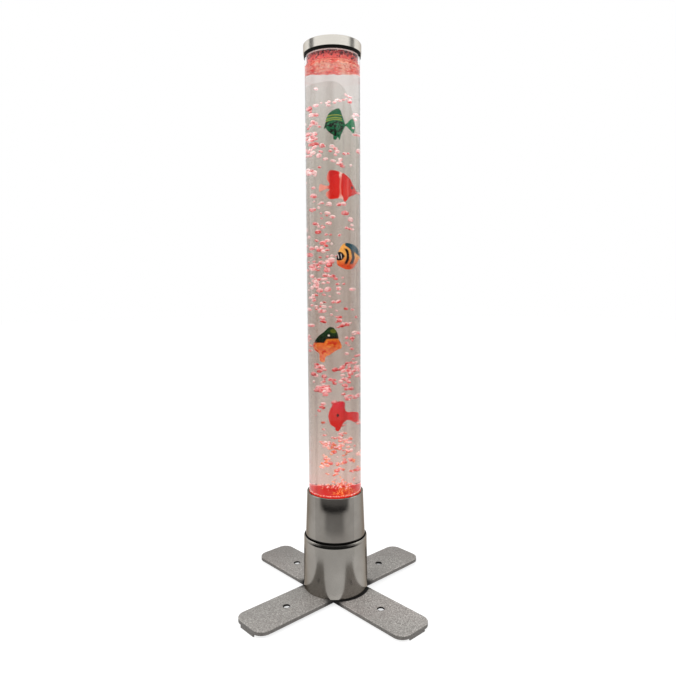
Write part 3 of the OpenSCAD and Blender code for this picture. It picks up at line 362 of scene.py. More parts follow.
@dataclass(frozen=True)
class StippledPaint(Finish):
    """Silver paint over a finely stippled moulding, rubbed lighter in places."""

    colour: Colour = srgb(166, 162, 157)
    dark: Colour = srgb(112, 107, 102)
    light: Colour = srgb(222, 218, 212)
    hole_r: float = 6 * MM
    stand_r: float = 62 * MM
    top_z: float = 14 * MM
    under: float = 0.0

    def feeds(self, tree: Tree) -> Feeds:
        """Grains of lighter and darker paint, with painted shade in the holes, where the housing stands, beside
        it where the bars cross, on the side faces and over the feet at the back.
        """
        x, y, z = tree.parts()
        grain = tree.cells(400)
        speck = tree.noise(470, 2, 0.65)
        cloud = tree.noise(9, 3)
        warm = tree.noise(6, 2, 0.5)
        tone = tree.mix(cloud.step(0.3, 0.72), darker(self.colour, 0.8), self.colour)
        tone = tree.mix(warm.step(0.45, 0.8) * 0.4, tone, srgb(172, 154, 150))
        rubbed = cloud.step(0.3, 0.65) * 0.4 + 0.35
        tone = tree.mix(speck.step(0.53, 0.64) * rubbed, tone, self.light)
        tone = tree.mix(speck.step(0.47, 0.36) * rubbed, tone, self.dark)
        # Painted shade: darker over the feet at the back and back left.
        tone = tree.mix((y - x).step(0.1, 0.3) * 0.35 + y.step(0.02, 0.16) * 0.22, tone, srgb(118, 114, 109))
        # Painted shade: darker on the side faces and lips below the top face.
        tone = tree.mix(z.step(self.top_z - 0.0008, self.top_z - 0.0024) * 0.75, tone, srgb(66, 62, 58))
        # Painted shade in the holes, beside the housing where the bars cross, and in a ring where the housing
        # stands.
        far_x, far_y = x.size() - HOLE_AT, y.size() - HOLE_AT
        hole = far_x.hypot(far_y)
        radius = x.hypot(y)
        close = radius.step(self.stand_r + 0.024, self.stand_r + 0.004)
        corner = x.size().least(y.size()).step(0.026, 0.008) * close
        ring = radius.step(self.stand_r + 0.0055, self.stand_r + 0.0035) * self.under
        shade = hole.step(self.hole_r + 0.0014, self.hole_r + 0.0004).most(corner * 0.9).most(ring)
        return {
            "Base Color": tree.mix(shade, tone, srgb(16, 14, 12)), "Metallic": 0.3,
            "Roughness": 0.5 + speck * 0.14 + shade * 0.3,
            "Normal": tree.bump(grain * 0.7 + speck * 0.8, 0.85, 0.0007),
        }


@dataclass(frozen=True)
class Moulding(Finish):
    """A moulded plastic with a fine spark-eroded grain."""

    colour: Colour
    rough: float = 0.45
    grain: float = 0.25

    def feeds(self, tree: Tree) -> Feeds:
        """Plain colour with small shifts of tone and a fine grain."""
        cloud = tree.noise(40, 3)
        grain = tree.noise(1500, 2, 0.6)
        return {
            "Base Color": tree.mix(cloud, darker(self.colour, 0.72), self.colour),
            "Roughness": self.rough + grain * 0.12, "Normal": tree.bump(grain, self.grain, 0.0002),
        }


@dataclass(frozen=True)
class Rubber(Finish):
    """Matt rubber with a dusty bloom."""

    colour: Colour = srgb(9, 8, 6)
    bloom: Colour = srgb(26, 24, 22)

    def feeds(self, tree: Tree) -> Feeds:
        """A dark body with a faint, patchy bloom."""
        cloud = tree.noise(90, 4, 0.6)
        return {
            "Base Color": tree.mix(cloud.step(0.5, 0.8) * 0.6, self.colour, self.bloom),
            "Roughness": 0.55 + cloud * 0.2, "Specular IOR Level": 0.08,
            "Normal": tree.bump(tree.noise(900, 2), 0.15, 0.0002),
        }


@dataclass(frozen=True)
class Steel(Finish):
    """Zinc-plated or plain steel with small marks."""

    colour: Colour = srgb(196, 196, 200)
    rough: float = 0.3

    def feeds(self, tree: Tree) -> Feeds:
        """Metal with a mottled sheen."""
        mottle = tree.noise(300, 4, 0.6)
        return {
            "Base Color": tree.mix(mottle, darker(self.colour, 0.7), self.colour),
            "Metallic": 1.0, "Roughness": self.rough + mottle * 0.15,
            "Normal": tree.bump(mottle, 0.1, 0.0002),
        }


@dataclass(frozen=True)
class ClearAcrylic(Finish):
    """Polished clear acrylic with a trace of wipe marks."""

    tint: Colour = (0.975, 0.985, 0.985)

    def feeds(self, tree: Tree) -> Feeds:
        """A clear shell with a trace of haze along its length."""
        x, y, z = tree.parts()
        haze = tree.noise(1.0, 3, 0.6, tree.vector(x * 60, y * 60, z * 9))
        return {
            "Base Color": tree.mix(haze.step(0.4, 0.8) * 0.5, self.tint, (0.94, 0.94, 0.93)),
            "Roughness": 0.0, "IOR": 1.49, "Transmission Weight": 1.0, "Specular Tint": (0.5, 0.5, 0.5),
        }


@dataclass(frozen=True)
class OpalGlow(Finish):
    """Opal acrylic that light from below fills with red."""

    colour: Colour = srgb(218, 24, 18)
    glow: float = 0.45
    stone: Pair = (16 * MM, -12 * MM)

    def feeds(self, tree: Tree) -> Feeds:
        """A glowing red, with a paler, mottled margin as a painted highlight at the back left of the rim and
        gold sparks round the air stone as painted glints.
        """
        x, y, _ = tree.parts()
        radius = x.hypot(y)
        mottle = tree.noise(120, 3, 0.6)
        # Painted highlight: a paler, mottled margin along the back left of the rim.
        margin = (radius + mottle * 0.008).step(0.0445, 0.0495) * (x + mottle * 0.03).step(0.03, 0.005)
        tone = tree.mix(margin * y.step(0.0, 0.02) * 0.8, self.colour, srgb(246, 190, 184))
        off_x, off_y = x - self.stone[0], y - self.stone[1]
        around = off_x.hypot(off_y)
        # Painted glints: glowing gold sparks round the air stone.
        spark = tree.cells(230).step(0.42, 0.28) * around.step(0.028, 0.012)
        gold = tree.mix(mottle.step(0.42, 0.58), (1.5, 0.42, 0.03), (1.9, 1.4, 0.3))
        return {
            "Base Color": tree.mix(spark, tone, srgb(250, 170, 60)), "Roughness": 0.4,
            "Specular IOR Level": 0.05,
            "Emission Color": tree.mix(spark, tone, gold), "Emission Strength": self.glow,
        }


@dataclass(frozen=True)
class LitStone(Finish):
    """The porous air stone, lit gold and red through the floor."""

    def feeds(self, tree: Tree) -> Feeds:
        """Grains from deep red to gold."""
        grain = tree.noise(420, 3, 0.7)
        tone = tree.ramp(grain.step(0.3, 0.7), [
            (0.0, srgb(190, 36, 28)), (0.45, srgb(228, 70, 46)), (0.7, srgb(250, 150, 60)),
            (1.0, srgb(255, 226, 150)),
        ])
        return {
            "Base Color": tone, "Roughness": 0.8, "Emission Color": tone, "Emission Strength": 0.4,
            "Normal": tree.bump(grain, 0.8, 0.0008),
        }


@dataclass(frozen=True)
class TankWater(Finish):
    """Still water, tinted by the grey of the room behind it, with soft upright streaks of painted light from
    the room.
    """

    foot_z: float
    top_z: float
    pale_z: float = 0.948
    arch_x: float = -0.008
    arch_bend: float = 10.7

    def feeds(self, tree: Tree) -> Feeds:
        """A tint that changes with height and round the column, with a painted red glow near the foot, painted
        streaks of room light and a pale arch under the surface painted as a reflection.
        """
        x, y, z = tree.parts()
        height = (z - self.foot_z) / (self.top_z - self.foot_z)
        # Painted light: pinkish near the foot from the red light below, and paler towards the surface.
        tone = tree.ramp(height, [
            (0.0, srgb(216, 176, 166)), (0.05, srgb(206, 172, 160)), (0.16, srgb(176, 156, 145)),
            (0.3, srgb(164, 142, 130)), (0.55, srgb(174, 154, 142)), (0.86, srgb(188, 181, 170)),
            (0.92, srgb(214, 206, 200)), (1.0, srgb(226, 216, 212)),
        ])
        turn = y.turn_from(x)
        # Painted light: darker and lighter upright streaks of the room seen through the water.
        streak = tree.noise(1.0, 2, 0.5, tree.vector(turn.sine() * 7, turn * 2.2, z * 1.2))
        tone = tree.mix(streak.step(0.3, 0.75) * 0.4, tone, srgb(146, 130, 119))
        tone = tree.mix(streak.step(0.72, 0.35) * 0.25, tone, srgb(214, 206, 198))
        # Painted reflection: a pale arch under the surface on the front half.
        reach = (x - self.arch_x).most(0.0)
        arch = (z - self.pale_z + (reach * self.arch_bend) ** 4).step(-0.0015, 0.0015) * z.step(0.84, 0.88)
        tone = tree.mix(arch * y.step(0.0, -0.01) * 0.8, tone, srgb(248, 242, 240))
        return {
            "Base Color": tone, "Roughness": 0.0, "IOR": 1.33, "Transmission Weight": 1.0,
            "Specular Tint": (0.0, 0.0, 0.0),
        }


@dataclass(frozen=True)
class BubbleSkin(Finish):
    """Air bubbles: white where the room lights them, coral and gold where the lamp does."""

    gold_z: float = 0.27

    def feeds(self, tree: Tree) -> Feeds:
        """Reads how far each point lies under its bubble's crown, and how much of the lamp's red light each
        bubble is painted with.
        """
        under = Value(tree, tree.add("ShaderNodeAttribute", {"attribute_name": "under"}).outputs["Fac"])
        own = Value(tree, tree.add("ShaderNodeAttribute", {"attribute_name": "own"}).outputs["Fac"])
        _, _, z = tree.parts()
        mottle = tree.noise(260, 3, 0.7)
        low = z.step(0.8, 0.3)
        # Painted light: white crowns lit by the room, coral and dark red undersides lit by the lamp, redder
        # lower in the column.
        blush = under * 0.45 + (own - 0.5) * 0.5 + (mottle - 0.5) * 1.9 + low * 0.14 + 0.12
        tone = tree.ramp(blush, [
            (0.0, srgb(255, 248, 248)), (0.22, srgb(246, 218, 222)), (0.4, srgb(240, 178, 184)),
            (0.56, srgb(232, 120, 122)), (0.74, srgb(214, 62, 64)), (1.0, srgb(128, 26, 34)),
        ])
        # Painted light: gold from the lamp low in the column.
        gold = z.step(self.gold_z + 0.12, self.gold_z - 0.03) * mottle.step(0.5, 0.62)
        tone = tree.mix(gold * 0.75, tone, srgb(252, 190, 92))
        hollow = own.step(0.5, 0.15) * under.near(0.5, 0.1, 0.2) * mottle.step(0.62, 0.5)
        return {
            "Base Color": tone, "Roughness": 0.15, "Emission Color": tone, "Emission Strength": 0.6,
            "Alpha": 0.92 - hollow * 0.6,
        }


@dataclass(frozen=True)
class FoamGlow(Finish):
    """The churned underside of the surface, lit coral from below."""

    def feeds(self, tree: Tree) -> Feeds:
        """Coral and salmon patches with dark flecks and pale crests."""
        x, y, z = tree.parts()
        drawn = tree.vector(x, y * 0.3, z * 0.3)
        patch = tree.noise(60, 3, 0.6, drawn)
        fleck = tree.cells(250, drawn)
        tone = tree.mix(patch.step(0.38, 0.62), srgb(224, 86, 76), srgb(226, 158, 134))
        tone = tree.mix(fleck.step(0.3, 0.16) * 0.6, tone, srgb(250, 210, 188))
        tone = tree.mix(fleck.step(0.58, 0.72) * 0.7, tone, srgb(176, 40, 38))
        tone = tree.mix((y * 0.7 - x).step(0.0, 0.05) * 0.3, tone, srgb(206, 60, 60))
        far_rim = (x.hypot(y) + fleck * 0.006).step(0.0455, 0.0475) * y.step(0.005, 0.02)
        tone = tree.mix(far_rim * 0.85, tone, srgb(255, 232, 226))
        return {
            "Base Color": tone, "Roughness": 0.25, "Emission Color": tone, "Emission Strength": 0.6,
        }


@dataclass(frozen=True)
class SprayFilm(Finish):
    """Froth and drops on the wall over the water, in the gasket's shade."""

    foot_z: float
    top_z: float

    def feeds(self, tree: Tree) -> Feeds:
        """Near black flecks of painted shade under the gasket that give way to drops lit coral from below, with
        pale drops and a pale line at the top as painted highlights.
        """
        _, _, z = tree.parts()
        height = (z - self.foot_z) / (self.top_z - self.foot_z)
        fleck = tree.noise(220, 2, 0.7)
        drop = tree.cells(260)
        # Painted light: coral from the red light below, near black painted shade under the gasket, and painted
        # highlights on the drops and along the top.
        tone = tree.mix(height.step(0.1, 0.7), srgb(216, 84, 78), srgb(150, 36, 38))
        tone = tree.mix((height * 0.2 + 0.38 - fleck).step(-0.015, 0.015) * 0.96, tone, srgb(52, 4, 6))
        tone = tree.mix(drop.step(0.34, 0.2) * fleck.step(0.46, 0.56) * 0.85, tone, srgb(240, 158, 140))
        tone = tree.mix(height.step(0.79, 0.84), tone, srgb(250, 216, 210))
        return {
            "Base Color": tone, "Roughness": 0.3, "Specular IOR Level": 0.1,
            "Emission Color": tone, "Emission Strength": 0.3,
            "Normal": tree.bump(drop, 0.6, 0.0008),
        }


@dataclass(frozen=True)
class LightChip(Finish):
    """A light-emitting chip under its lens."""

    def feeds(self, tree: Tree) -> Feeds:
        """A red glow that varies a little from chip to chip."""
        vary = tree.noise(30, 1)
        tone = tree.mix(vary, srgb(255, 60, 40), srgb(255, 96, 70))
        return {
            "Base Color": tone, "Roughness": 0.2, "Emission Color": tone, "Emission Strength": 2.0,
        }


@dataclass(frozen=True)
class CopperTurns(Finish):
    """Enamelled copper wire wound in close turns."""

    def feeds(self, tree: Tree) -> Feeds:
        """Turns as a fine ripple along the coil."""
        x, _, _ = tree.parts()
        turns = (x * 2 * math.pi / 0.0005).sine() * 0.5 + 0.5
        tone = tree.mix(turns, srgb(120, 58, 24), srgb(196, 112, 60))
        return {
            "Base Color": tone, "Metallic": 0.8, "Roughness": 0.3,
            "Normal": tree.bump(turns, 0.6, 0.0002),
        }


Painter = Callable[[Tree, Value, Value, Value, Value], Socket]


@dataclass(frozen=True)
class FishPaint(Finish):
    """Glossy paint on a soft toy fish, glowing a little as painted light; the painter lays out its pattern in
    body lengths.
    """

    painter: Painter
    middle: Place
    turn: float
    length: float

    def feeds(self, tree: Tree) -> Feeds:
        """The painted pattern, with fin rays and a few scales in relief, and a faint glow that is painted
        light.
        """
        local = tree.add(
            "ShaderNodeMapping", {"vector_type": "TEXTURE"},
            {"Vector": tree.place(), "Location": self.middle, "Rotation": (0, 0, self.turn),
             "Scale": (self.length,) * 3},
        ).outputs[0]
        along, across, up = tree.parts(local)
        wobble = tree.noise(5, 3, 0.55, local) - 0.5
        tone = self.painter(tree, along, across, up, wobble)
        rays = tree.noise(1.0, 2, 0.5, tree.vector(along * 34, across * 4, up * 5))
        fin = across.size().step(0.035, 0.02)
        # The emission is painted light: the fish glow a little though they are no lamps.
        return {
            "Base Color": tone, "Roughness": 0.3 + fin * 0.1, "Coat Weight": 0.08, "Coat Roughness": 0.1,
            "Specular IOR Level": 0.2, "Emission Color": tone, "Emission Strength": 0.46,
            "Normal": tree.bump(rays * fin + tree.cells(26, local) * 0.25, 0.35, 0.0004),
        }


def paint_leaf_green(tree: Tree, along: Value, across: Value, up: Value, wobble: Value) -> Socket:
    """Teal green with three thin lime lines over the back and black, patchy cheeks."""
    tone = tree.mix((up + wobble * 0.3).step(-0.3, 0.6), srgb(6, 104, 66), srgb(10, 96, 62))
    tone = tree.mix(wobble.step(0.04, 0.12) * up.step(0.3, 0.0) * 0.7, tone, srgb(40, 160, 110))
    for height in (0.37, 0.21, 0.1):
        line = (up + along * along * 0.5 + wobble * 0.04).near(height, 0.014, 0.012) * along.step(0.3, 0.22)
        tone = tree.mix(line, tone, srgb(176, 186, 56))
    patch = tree.noise(5.5, 2, 0.6, tree.vector(along, across * 0.3, up)).step(0.47, 0.51)
    cheek = (up + 0.42 + wobble * 0.3).size().step(0.44, 0.36) * along.step(0.36, 0.3)
    tone = tree.mix(cheek * patch, tone, srgb(0, 4, 4))
    return tree.mix(along.step(0.5, 0.62), tone, srgb(8, 132, 84))


def paint_pale_band(tree: Tree, along: Value, across: Value, up: Value, wobble: Value) -> Socket:
    """Bright red with a pale pink band round the middle, frayed at its ends, and a pale tail."""
    tone = tree.mix((up + wobble).step(-0.6, 0.7), srgb(228, 38, 28), srgb(216, 36, 38))
    fray = tree.noise(1.0, 2, 0.6, tree.vector(along * 22, across * 4, up * 5)) - 0.5
    ends = up.size().step(0.25, 0.5)
    band = ((along + 0.04 + wobble * 0.08).size() - ends * 0.03 + fray * ends * 0.16).step(0.04, 0.012)
    pink = tree.mix(ends, srgb(244, 150, 138), srgb(252, 220, 212))
    tone = tree.mix(band * (0.62 + ends * 0.38), tone, pink)
    faint = (along - 0.2).size().step(0.04, 0.015) * 0.25
    tone = tree.mix(faint, tone, srgb(244, 140, 130))
    return tree.mix(along.step(-0.36, -0.5) * 0.95, tone, srgb(250, 172, 158))


def paint_tiger(tree: Tree, along: Value, across: Value, up: Value, wobble: Value) -> Socket:
    """Orange-yellow with curved dark stripes, a spotted red belly, a teal back fin and a black snout."""
    tone = tree.mix((up + wobble * 0.3).step(-0.6, 0.1), srgb(240, 92, 44), srgb(255, 190, 96))
    spots = tree.cells(11, tree.vector(along, across * 0.3, up)).step(0.36, 0.22) * up.step(0.05, -0.3)
    tone = tree.mix(spots * 0.8, tone, srgb(214, 36, 30))
    bend = along + up * up * 0.55
    for place, half in ((-0.02, 0.05), (0.22, 0.06)):
        stripe = (bend + wobble * 0.08).near(place, half, 0.02) * up.step(-0.5, -0.36) * up.step(0.46, 0.34)
        tone = tree.mix(stripe, tone, srgb(34, 10, 6))
    fin = (up + along * 0.9 - 0.44).step(0.0, 0.04) * along.step(-0.16, -0.08)
    tone = tree.mix(fin, tone, srgb(10, 74, 92))
    ahead = (along + 0.38) / 0.19
    over = up / 0.23
    snout = (ahead * ahead + over * over).step(1.1, 0.95)
    slant = along + up * 0.12
    slit = slant.near(-0.3, 0.006, 0.01).most(slant.near(-0.42, 0.006, 0.01))
    tone = tree.mix(snout, tone, srgb(4, 3, 3))
    return tree.mix(snout * slit * up.size().step(0.16, 0.1), tone, srgb(250, 246, 248))


def paint_green_back(tree: Tree, along: Value, across: Value, up: Value, wobble: Value) -> Socket:
    """Dark green head and back over a spotted orange belly, with a black band between them."""
    edge = along.step(-0.15, 0.0) * 0.16 + 0.07
    back = (up - edge + wobble * 0.05).step(0.0, 0.03)
    belly = tree.mix((up + wobble).step(-0.5, 0.1), srgb(246, 134, 100), srgb(246, 120, 40))
    spots = tree.cells(13, tree.vector(along, across * 0.3, up)).step(0.36, 0.24)
    belly = tree.mix(spots * 0.85, belly, srgb(255, 196, 84))
    belly = tree.mix(wobble.step(0.03, 0.09) * 0.85, belly, srgb(220, 44, 30))
    green = tree.mix((up + wobble * 0.5).step(0.1, 0.8), srgb(1, 24, 5), srgb(6, 58, 20))
    far = (along - 0.23) * (along - 0.23) * 0.6 + (up - 0.6) * (up - 0.6)
    green = tree.mix(far.step(0.012, 0.004) * 0.6, green, srgb(120, 140, 36))
    band = up.near(0.3, 0.04, 0.03) * along.step(-0.08, 0.0)
    green = tree.mix(band, green, srgb(2, 3, 2))
    dot = (along - 0.056) * (along - 0.056) + (up - 0.41) * (up - 0.41)
    green = tree.mix(dot.step(0.0022, 0.001), green, srgb(240, 236, 226))
    tone = tree.mix(back, belly, green)
    thin = (up - edge - 0.012).size().step(0.03, 0.012) * along.step(-0.1, 0.0)
    return tree.mix(thin * 0.85, tone, srgb(226, 150, 48))


def paint_plain_red(tree: Tree, along: Value, across: Value, up: Value, wobble: Value) -> Socket:
    """Deep red, a little towards magenta over the back."""
    tone = tree.mix((up + along * 0.4 + wobble * 0.4).step(-0.1, 0.7), srgb(226, 36, 30), srgb(220, 28, 56))
    return tree.mix(along.step(0.25, 0.5) * 0.5, tone, srgb(234, 34, 44))


@dataclass(frozen=True)
class EyePaint(Finish):
    """A toy's glossy eye."""

    colour: Colour = srgb(12, 12, 14)

    def feeds(self, tree: Tree) -> Feeds:
        """Near black with a faint mottle under a hard gloss."""
        mottle = tree.noise(700, 2)
        return {
            "Base Color": tree.mix(mottle, self.colour, srgb(26, 22, 22)), "Roughness": 0.2,
            "Specular IOR Level": 0.15,
        }


BLACK_RUBBER = Rubber("soft_black_rubber")
SCREW_STEEL = Steel("screw_steel")
DARK_MOULDING = Moulding("dark_moulding", srgb(40, 40, 42))
WHITE_MOULDING = Moulding("white_moulding", srgb(222, 220, 212), 0.4)
PUMP_MOULDING = Moulding("pump_moulding", srgb(110, 114, 120), 0.5)


# ---- modelling helpers

def dress(finish: Finish, *nodes: str) -> None:
    """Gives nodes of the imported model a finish.

    Args:
        finish: the finish for all of them.
        nodes: their names.
    """
    material = finish.make()
    for name in nodes:
        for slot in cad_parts[name].material_slots:
            slot.material = material
        log.info("%s: %s", name, finish.name)


def only(piece: Piece) -> None:
    """Makes one object the active one, and the only one selected."""
    bpy.ops.object.select_all(action="DESELECT")
    piece.select_set(True)
    bpy.context.view_layer.objects.active = piece


@contextmanager
def editing() -> Iterator[None]:
    """Keeps the active object in edit mode for a few lines."""
    bpy.ops.object.mode_set(mode="EDIT")
    yield
    bpy.ops.object.mode_set(mode="OBJECT")


def pick(piece: Piece, kind: str, test: Callable[[Vector, Vector], bool]) -> None:
    """Selects parts of a mesh in edit mode by place and normal.

    Args:
        piece: the object, in edit mode.
        kind: "FACE" or "VERT".
        test: takes the place and the normal, and says whether to select.
    """
    bpy.ops.mesh.select_mode(type=kind)
    bpy.ops.mesh.select_all(action="DESELECT")
    mesh = bmesh.from_edit_mesh(piece.data)
    for part in mesh.faces if kind == "FACE" else mesh.verts:
        place = part.calc_center_median() if kind == "FACE" else part.co
        part.select_set(test(place, part.normal))
    mesh.select_flush_mode()
    bmesh.update_edit_mesh(piece.data)


def named(name: str) -> Piece:
    """Names the active object and its mesh, puts its place into the mesh and returns it."""
    piece = bpy.context.active_object
    piece.name = name
    piece.data.name = name
    bpy.ops.object.transform_apply(location=True, rotation=True, scale=True)
    return piece


def start(
    add: Callable[..., object], name: str, grow: Union[Place, None] = None, **settings: object
) -> Piece:
    """Adds a primitive with nothing else selected.

    Args:
        add: the operator that adds it.
        name: the new object's name.
        grow: how much to stretch it along X, Y and Z.
        settings: what the operator is told.

    Returns:
        The new object, active and with its place in its mesh.
    """
    bpy.ops.object.select_all(action="DESELECT")
    add(**settings)
    if grow:
        bpy.ops.transform.resize(value=grow)
    return named(name)


def modify(piece: Piece, kind: str, **settings: object) -> None:
    """Adds a modifier with these settings and applies it."""
    only(piece)
    modifier = piece.modifiers.new(kind.lower(), kind)
    for name, value in settings.items():
        setattr(modifier, name, value)
    bpy.ops.object.modifier_apply(modifier=modifier.name)


def hand_over(piece: Piece, finish: Finish, body: str = "lamp") -> None:
    """Dresses a finished piece and lets it ride on its body.

    Args:
        piece: the finished object.
        finish: its main finish.
        body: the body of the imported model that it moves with.
    """
    if not piece.data.materials:
        piece.data.materials.append(finish.make())
    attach(piece, body)
    log.info("%s: %d faces, on %s", piece.name, len(piece.data.polygons), body)


def smooth_copy(node: str, name: str) -> Piece:
    """A copy of a node's mesh as one joined skin.

    Args:
        node: the node to copy.
        name: the new piece's name.

    Returns:
        The copy, active and in object mode.
    """
    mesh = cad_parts[node].data.copy()
    mesh.materials.clear()
    piece = bpy.data.objects.new(name, mesh)
    bpy.context.scene.collection.objects.link(piece)
    only(piece)
    with editing():
        bpy.ops.mesh.select_all(action="SELECT")
        bpy.ops.mesh.remove_doubles(threshold=0.000001)
    return named(name)


# ---- the studio

class Seen(Enum):
    """Which rays see a card."""

    IN_GLOSS = "in_gloss"
    THROUGH = "through"


FLAT = (0.0, 0.0, 0.0)
SIDEWAYS = (0.0, math.radians(90), 0.0)
FACING = (math.radians(90), 0.0, 0.0)


@dataclass(frozen=True)
class Card:
    """A card round the set: flat overhead, or upright before or beside the lamp."""

    name: str
    middle: Place
    size: Place
    tone: float
    soft: float
    seen: Seen = Seen.IN_GLOSS
    tilt: Place = SIDEWAYS

    def spans(self) -> tuple[bool, bool, bool]:
        """Along which of X, Y and Z the card reaches out."""
        return (self.tilt != SIDEWAYS, self.tilt != FACING, self.tilt != FLAT)


CARDS = (
    Card("wall_front", (0, -2.6, 0.78), (5.2, 1, 1.56), 0.02, 0.05, Seen.IN_GLOSS, FACING),
    Card("wall_left", (-2.6, -1.6, 0.5), (1, 2.0, 1.0), 0.05, 0.05),
    Card("wall_right", (2.6, -1.6, 0.5), (1, 2.0, 1.0), 0.05, 0.05),
    Card("card_left", (-1.2, -0.1, 1.5), (1, 0.6, 0.6), 0.08, 0.12),
    Card("card_right", (1.2, -0.1, 1.5), (1, 0.6, 0.6), 0.1, 0.12),
    Card("bright_left", (-0.75, 0.1, 0.8), (1, 0.5, 0.7), 2.4, 0.1),
    Card("bright_right", (0.75, 0.1, 0.8), (1, 0.5, 0.7), 2.4, 0.1),
    Card("bright_above", (0, -0.4, 2.9), (2.4, 1.4, 1), 1.5, 0.3, Seen.IN_GLOSS, FLAT),
    Card("edge_left", (-0.62, 0.32, 0.8), (1, 0.5, 1.6), 0.45, 0.12, Seen.THROUGH),
    Card("edge_right", (0.62, 0.32, 0.8), (1, 0.5, 1.6), 0.4, 0.12, Seen.THROUGH),
)


@dataclass(frozen=True)
class Arc:
    """A dark arc of the floor round the lamp, before its front."""

    near_r: float
    far_r: float
    half_turn: float
    tone: float
    soft: float
    soft_turn: float


ARCS = (
    Arc(0.36, 0.48, 0.40, 0.9, 0.07, 0.45),
    Arc(0.48, 0.60, 0.40, 0.5, 0.08, 0.42),
    Arc(0.66, 1.50, 0.84, 0.29, 0.02, 0.3),
    Arc(0.614, 0.66, 0.66, 0.0, 0.012, 0.5),
)


@dataclass
class Studio:
    """Pale floor and room, soft light, and the camera of the photograph."""

    focal_px: float = 594.31
    stand: Place = (0.0575, -1.1127, 0.60375)
    yaw: float = 0.0066 - math.radians(2.96)
    pitch: float = 0.0957
    roll: float = -0.0060
    floor_r: float = 9.0
    paper: float = 0.42
    glow: float = 0.76
    dimmed: float = 0.74
    aim_z: float = 0.45
    bar_reach: float = 0.19
    bar_half: float = 0.034
    light_y: float = 0.016

    def camera(self) -> None:
        """Places the camera so that its frame is the photograph's."""
        data = bpy.data.cameras.new("camera")
        data.sensor_width = SENSOR
        data.lens = self.focal_px / PHOTO_SIDE * SENSOR
        data.clip_start = 0.01
        look = Vector((
            math.sin(self.yaw) * math.cos(self.pitch), math.cos(self.yaw) * math.cos(self.pitch),
            -math.sin(self.pitch),
        ))
        right = Vector((math.cos(self.yaw), -math.sin(self.yaw), 0))
        up = right.cross(look)
        x_axis = math.cos(self.roll) * right + math.sin(self.roll) * up
        y_axis = -math.sin(self.roll) * right + math.cos(self.roll) * up
        turned = Matrix((x_axis, y_axis, -look)).transposed().to_4x4()
        piece = bpy.data.objects.new("camera", data)
        piece.matrix_world = Matrix.Translation(self.stand) @ turned
        bpy.context.scene.collection.objects.link(piece)
        bpy.context.scene.camera = piece

    def room(self) -> None:
        """White room: bright where it is seen, softer where it lights."""
        world = bpy.data.worlds.new("room")
        bpy.context.scene.world = world
        tree = Tree(world)
        rays = tree.add("ShaderNodeLightPath").outputs
        kinds = ("Camera", "Glossy", "Transmission")
        camera, gloss, through = (Value(tree, rays[f"Is {kind} Ray"]) for kind in kinds)
        seen = camera.most(gloss).most(through)
        light = tree.add("ShaderNodeBackground", None, {"Color": WHITE, "Strength": 0.62 + seen * 0.38})
        tree.add("ShaderNodeOutputWorld", None, {"Surface": light.outputs[0]})

    def floor(self) -> None:
        """A pale floor that shows the lamp's shadow, dim under the foot bars and lit below their holes."""
        floor = start(
            bpy.ops.mesh.primitive_circle_add, "floor",
            vertices=96, radius=self.floor_r, fill_type="NGON", location=(0, 0, -0.0002),
        )
        tree = self.look(floor, "floor_paper")
        paper = tree.add("ShaderNodeBsdfDiffuse", None, {"Color": (self.paper,) * 3})
        x, y, _ = tree.parts()
        one, other = (x + y).size() * math.sqrt(0.5), (x - y).size() * math.sqrt(0.5)
        reach, half = self.bar_reach, self.bar_half
        bars = [
            along.step(reach, reach - 0.02) * aside.step(half, half - 0.006)
            for along, aside in ((one, other), (other, one))
        ]
        off_x, off_y = x.size() - HOLE_AT, (y - self.light_y).size() - HOLE_AT
        lit = (off_x * off_x + off_y * off_y).step(0.0001, 0.00007)
        glow = self.glow - bars[0].most(bars[1]) * (1.0 - lit) * self.dimmed
        own = tree.add("ShaderNodeEmission", None, {"Color": WHITE, "Strength": glow})
        both = tree.add("ShaderNodeAddShader", None, {0: paper.outputs[0], 1: own.outputs[0]})
        tree.add("ShaderNodeOutputMaterial", None, {"Surface": both.outputs[0]})

    def shade(self) -> None:
        """The darker room before the set, as the lacquered base mirrors it off the floor."""
        piece = start(
            bpy.ops.mesh.primitive_plane_add, "floor_shade", (3.4, 1.6, 1), size=1, location=(0, -0.9, 0.002),
        )
        tree = self.look(piece, "floor_shade")
        x, y, _ = tree.parts()
        radius = x.hypot(y)
        turn = x.turn_from(0.0 - y).size()
        glow: Number = 1.0
        for arc in ARCS:
            middle, half = (arc.near_r + arc.far_r) / 2, (arc.far_r - arc.near_r) / 2
            sweep = turn.step(arc.half_turn + arc.soft_turn, arc.half_turn)
            share = radius.near(middle, half, arc.soft) * sweep
            glow = (1.0 - share) * glow + share * arc.tone
        self.show(piece, tree, glow, Seen.IN_GLOSS)

    def card(self, card: Card) -> None:
        """A dark or bright card that only mirror-like or clear surfaces see.

        Args:
            card: its name, place, size, tilt, tone and what sees it.
        """
        piece = start(
            bpy.ops.mesh.primitive_plane_add, card.name, card.size,
            size=1, location=card.middle, rotation=card.tilt,
        )
        tree = self.look(piece, card.name)
        inside: Number = 1.0
        for place, middle, across, spans in zip(tree.parts(), card.middle, card.size, card.spans()):
            if spans:
                inside = inside * (place - middle).size().step(across / 2, across / 2 - card.soft)
        self.show(piece, tree, 1.0 - inside * (1.0 - card.tone), card.seen)

    @staticmethod
    def look(piece: Piece, name: str) -> Tree:
        """Gives a stage piece a new material and returns its empty tree."""
        material = bpy.data.materials.new(name)
        piece.data.materials.append(material)
        return Tree(material)

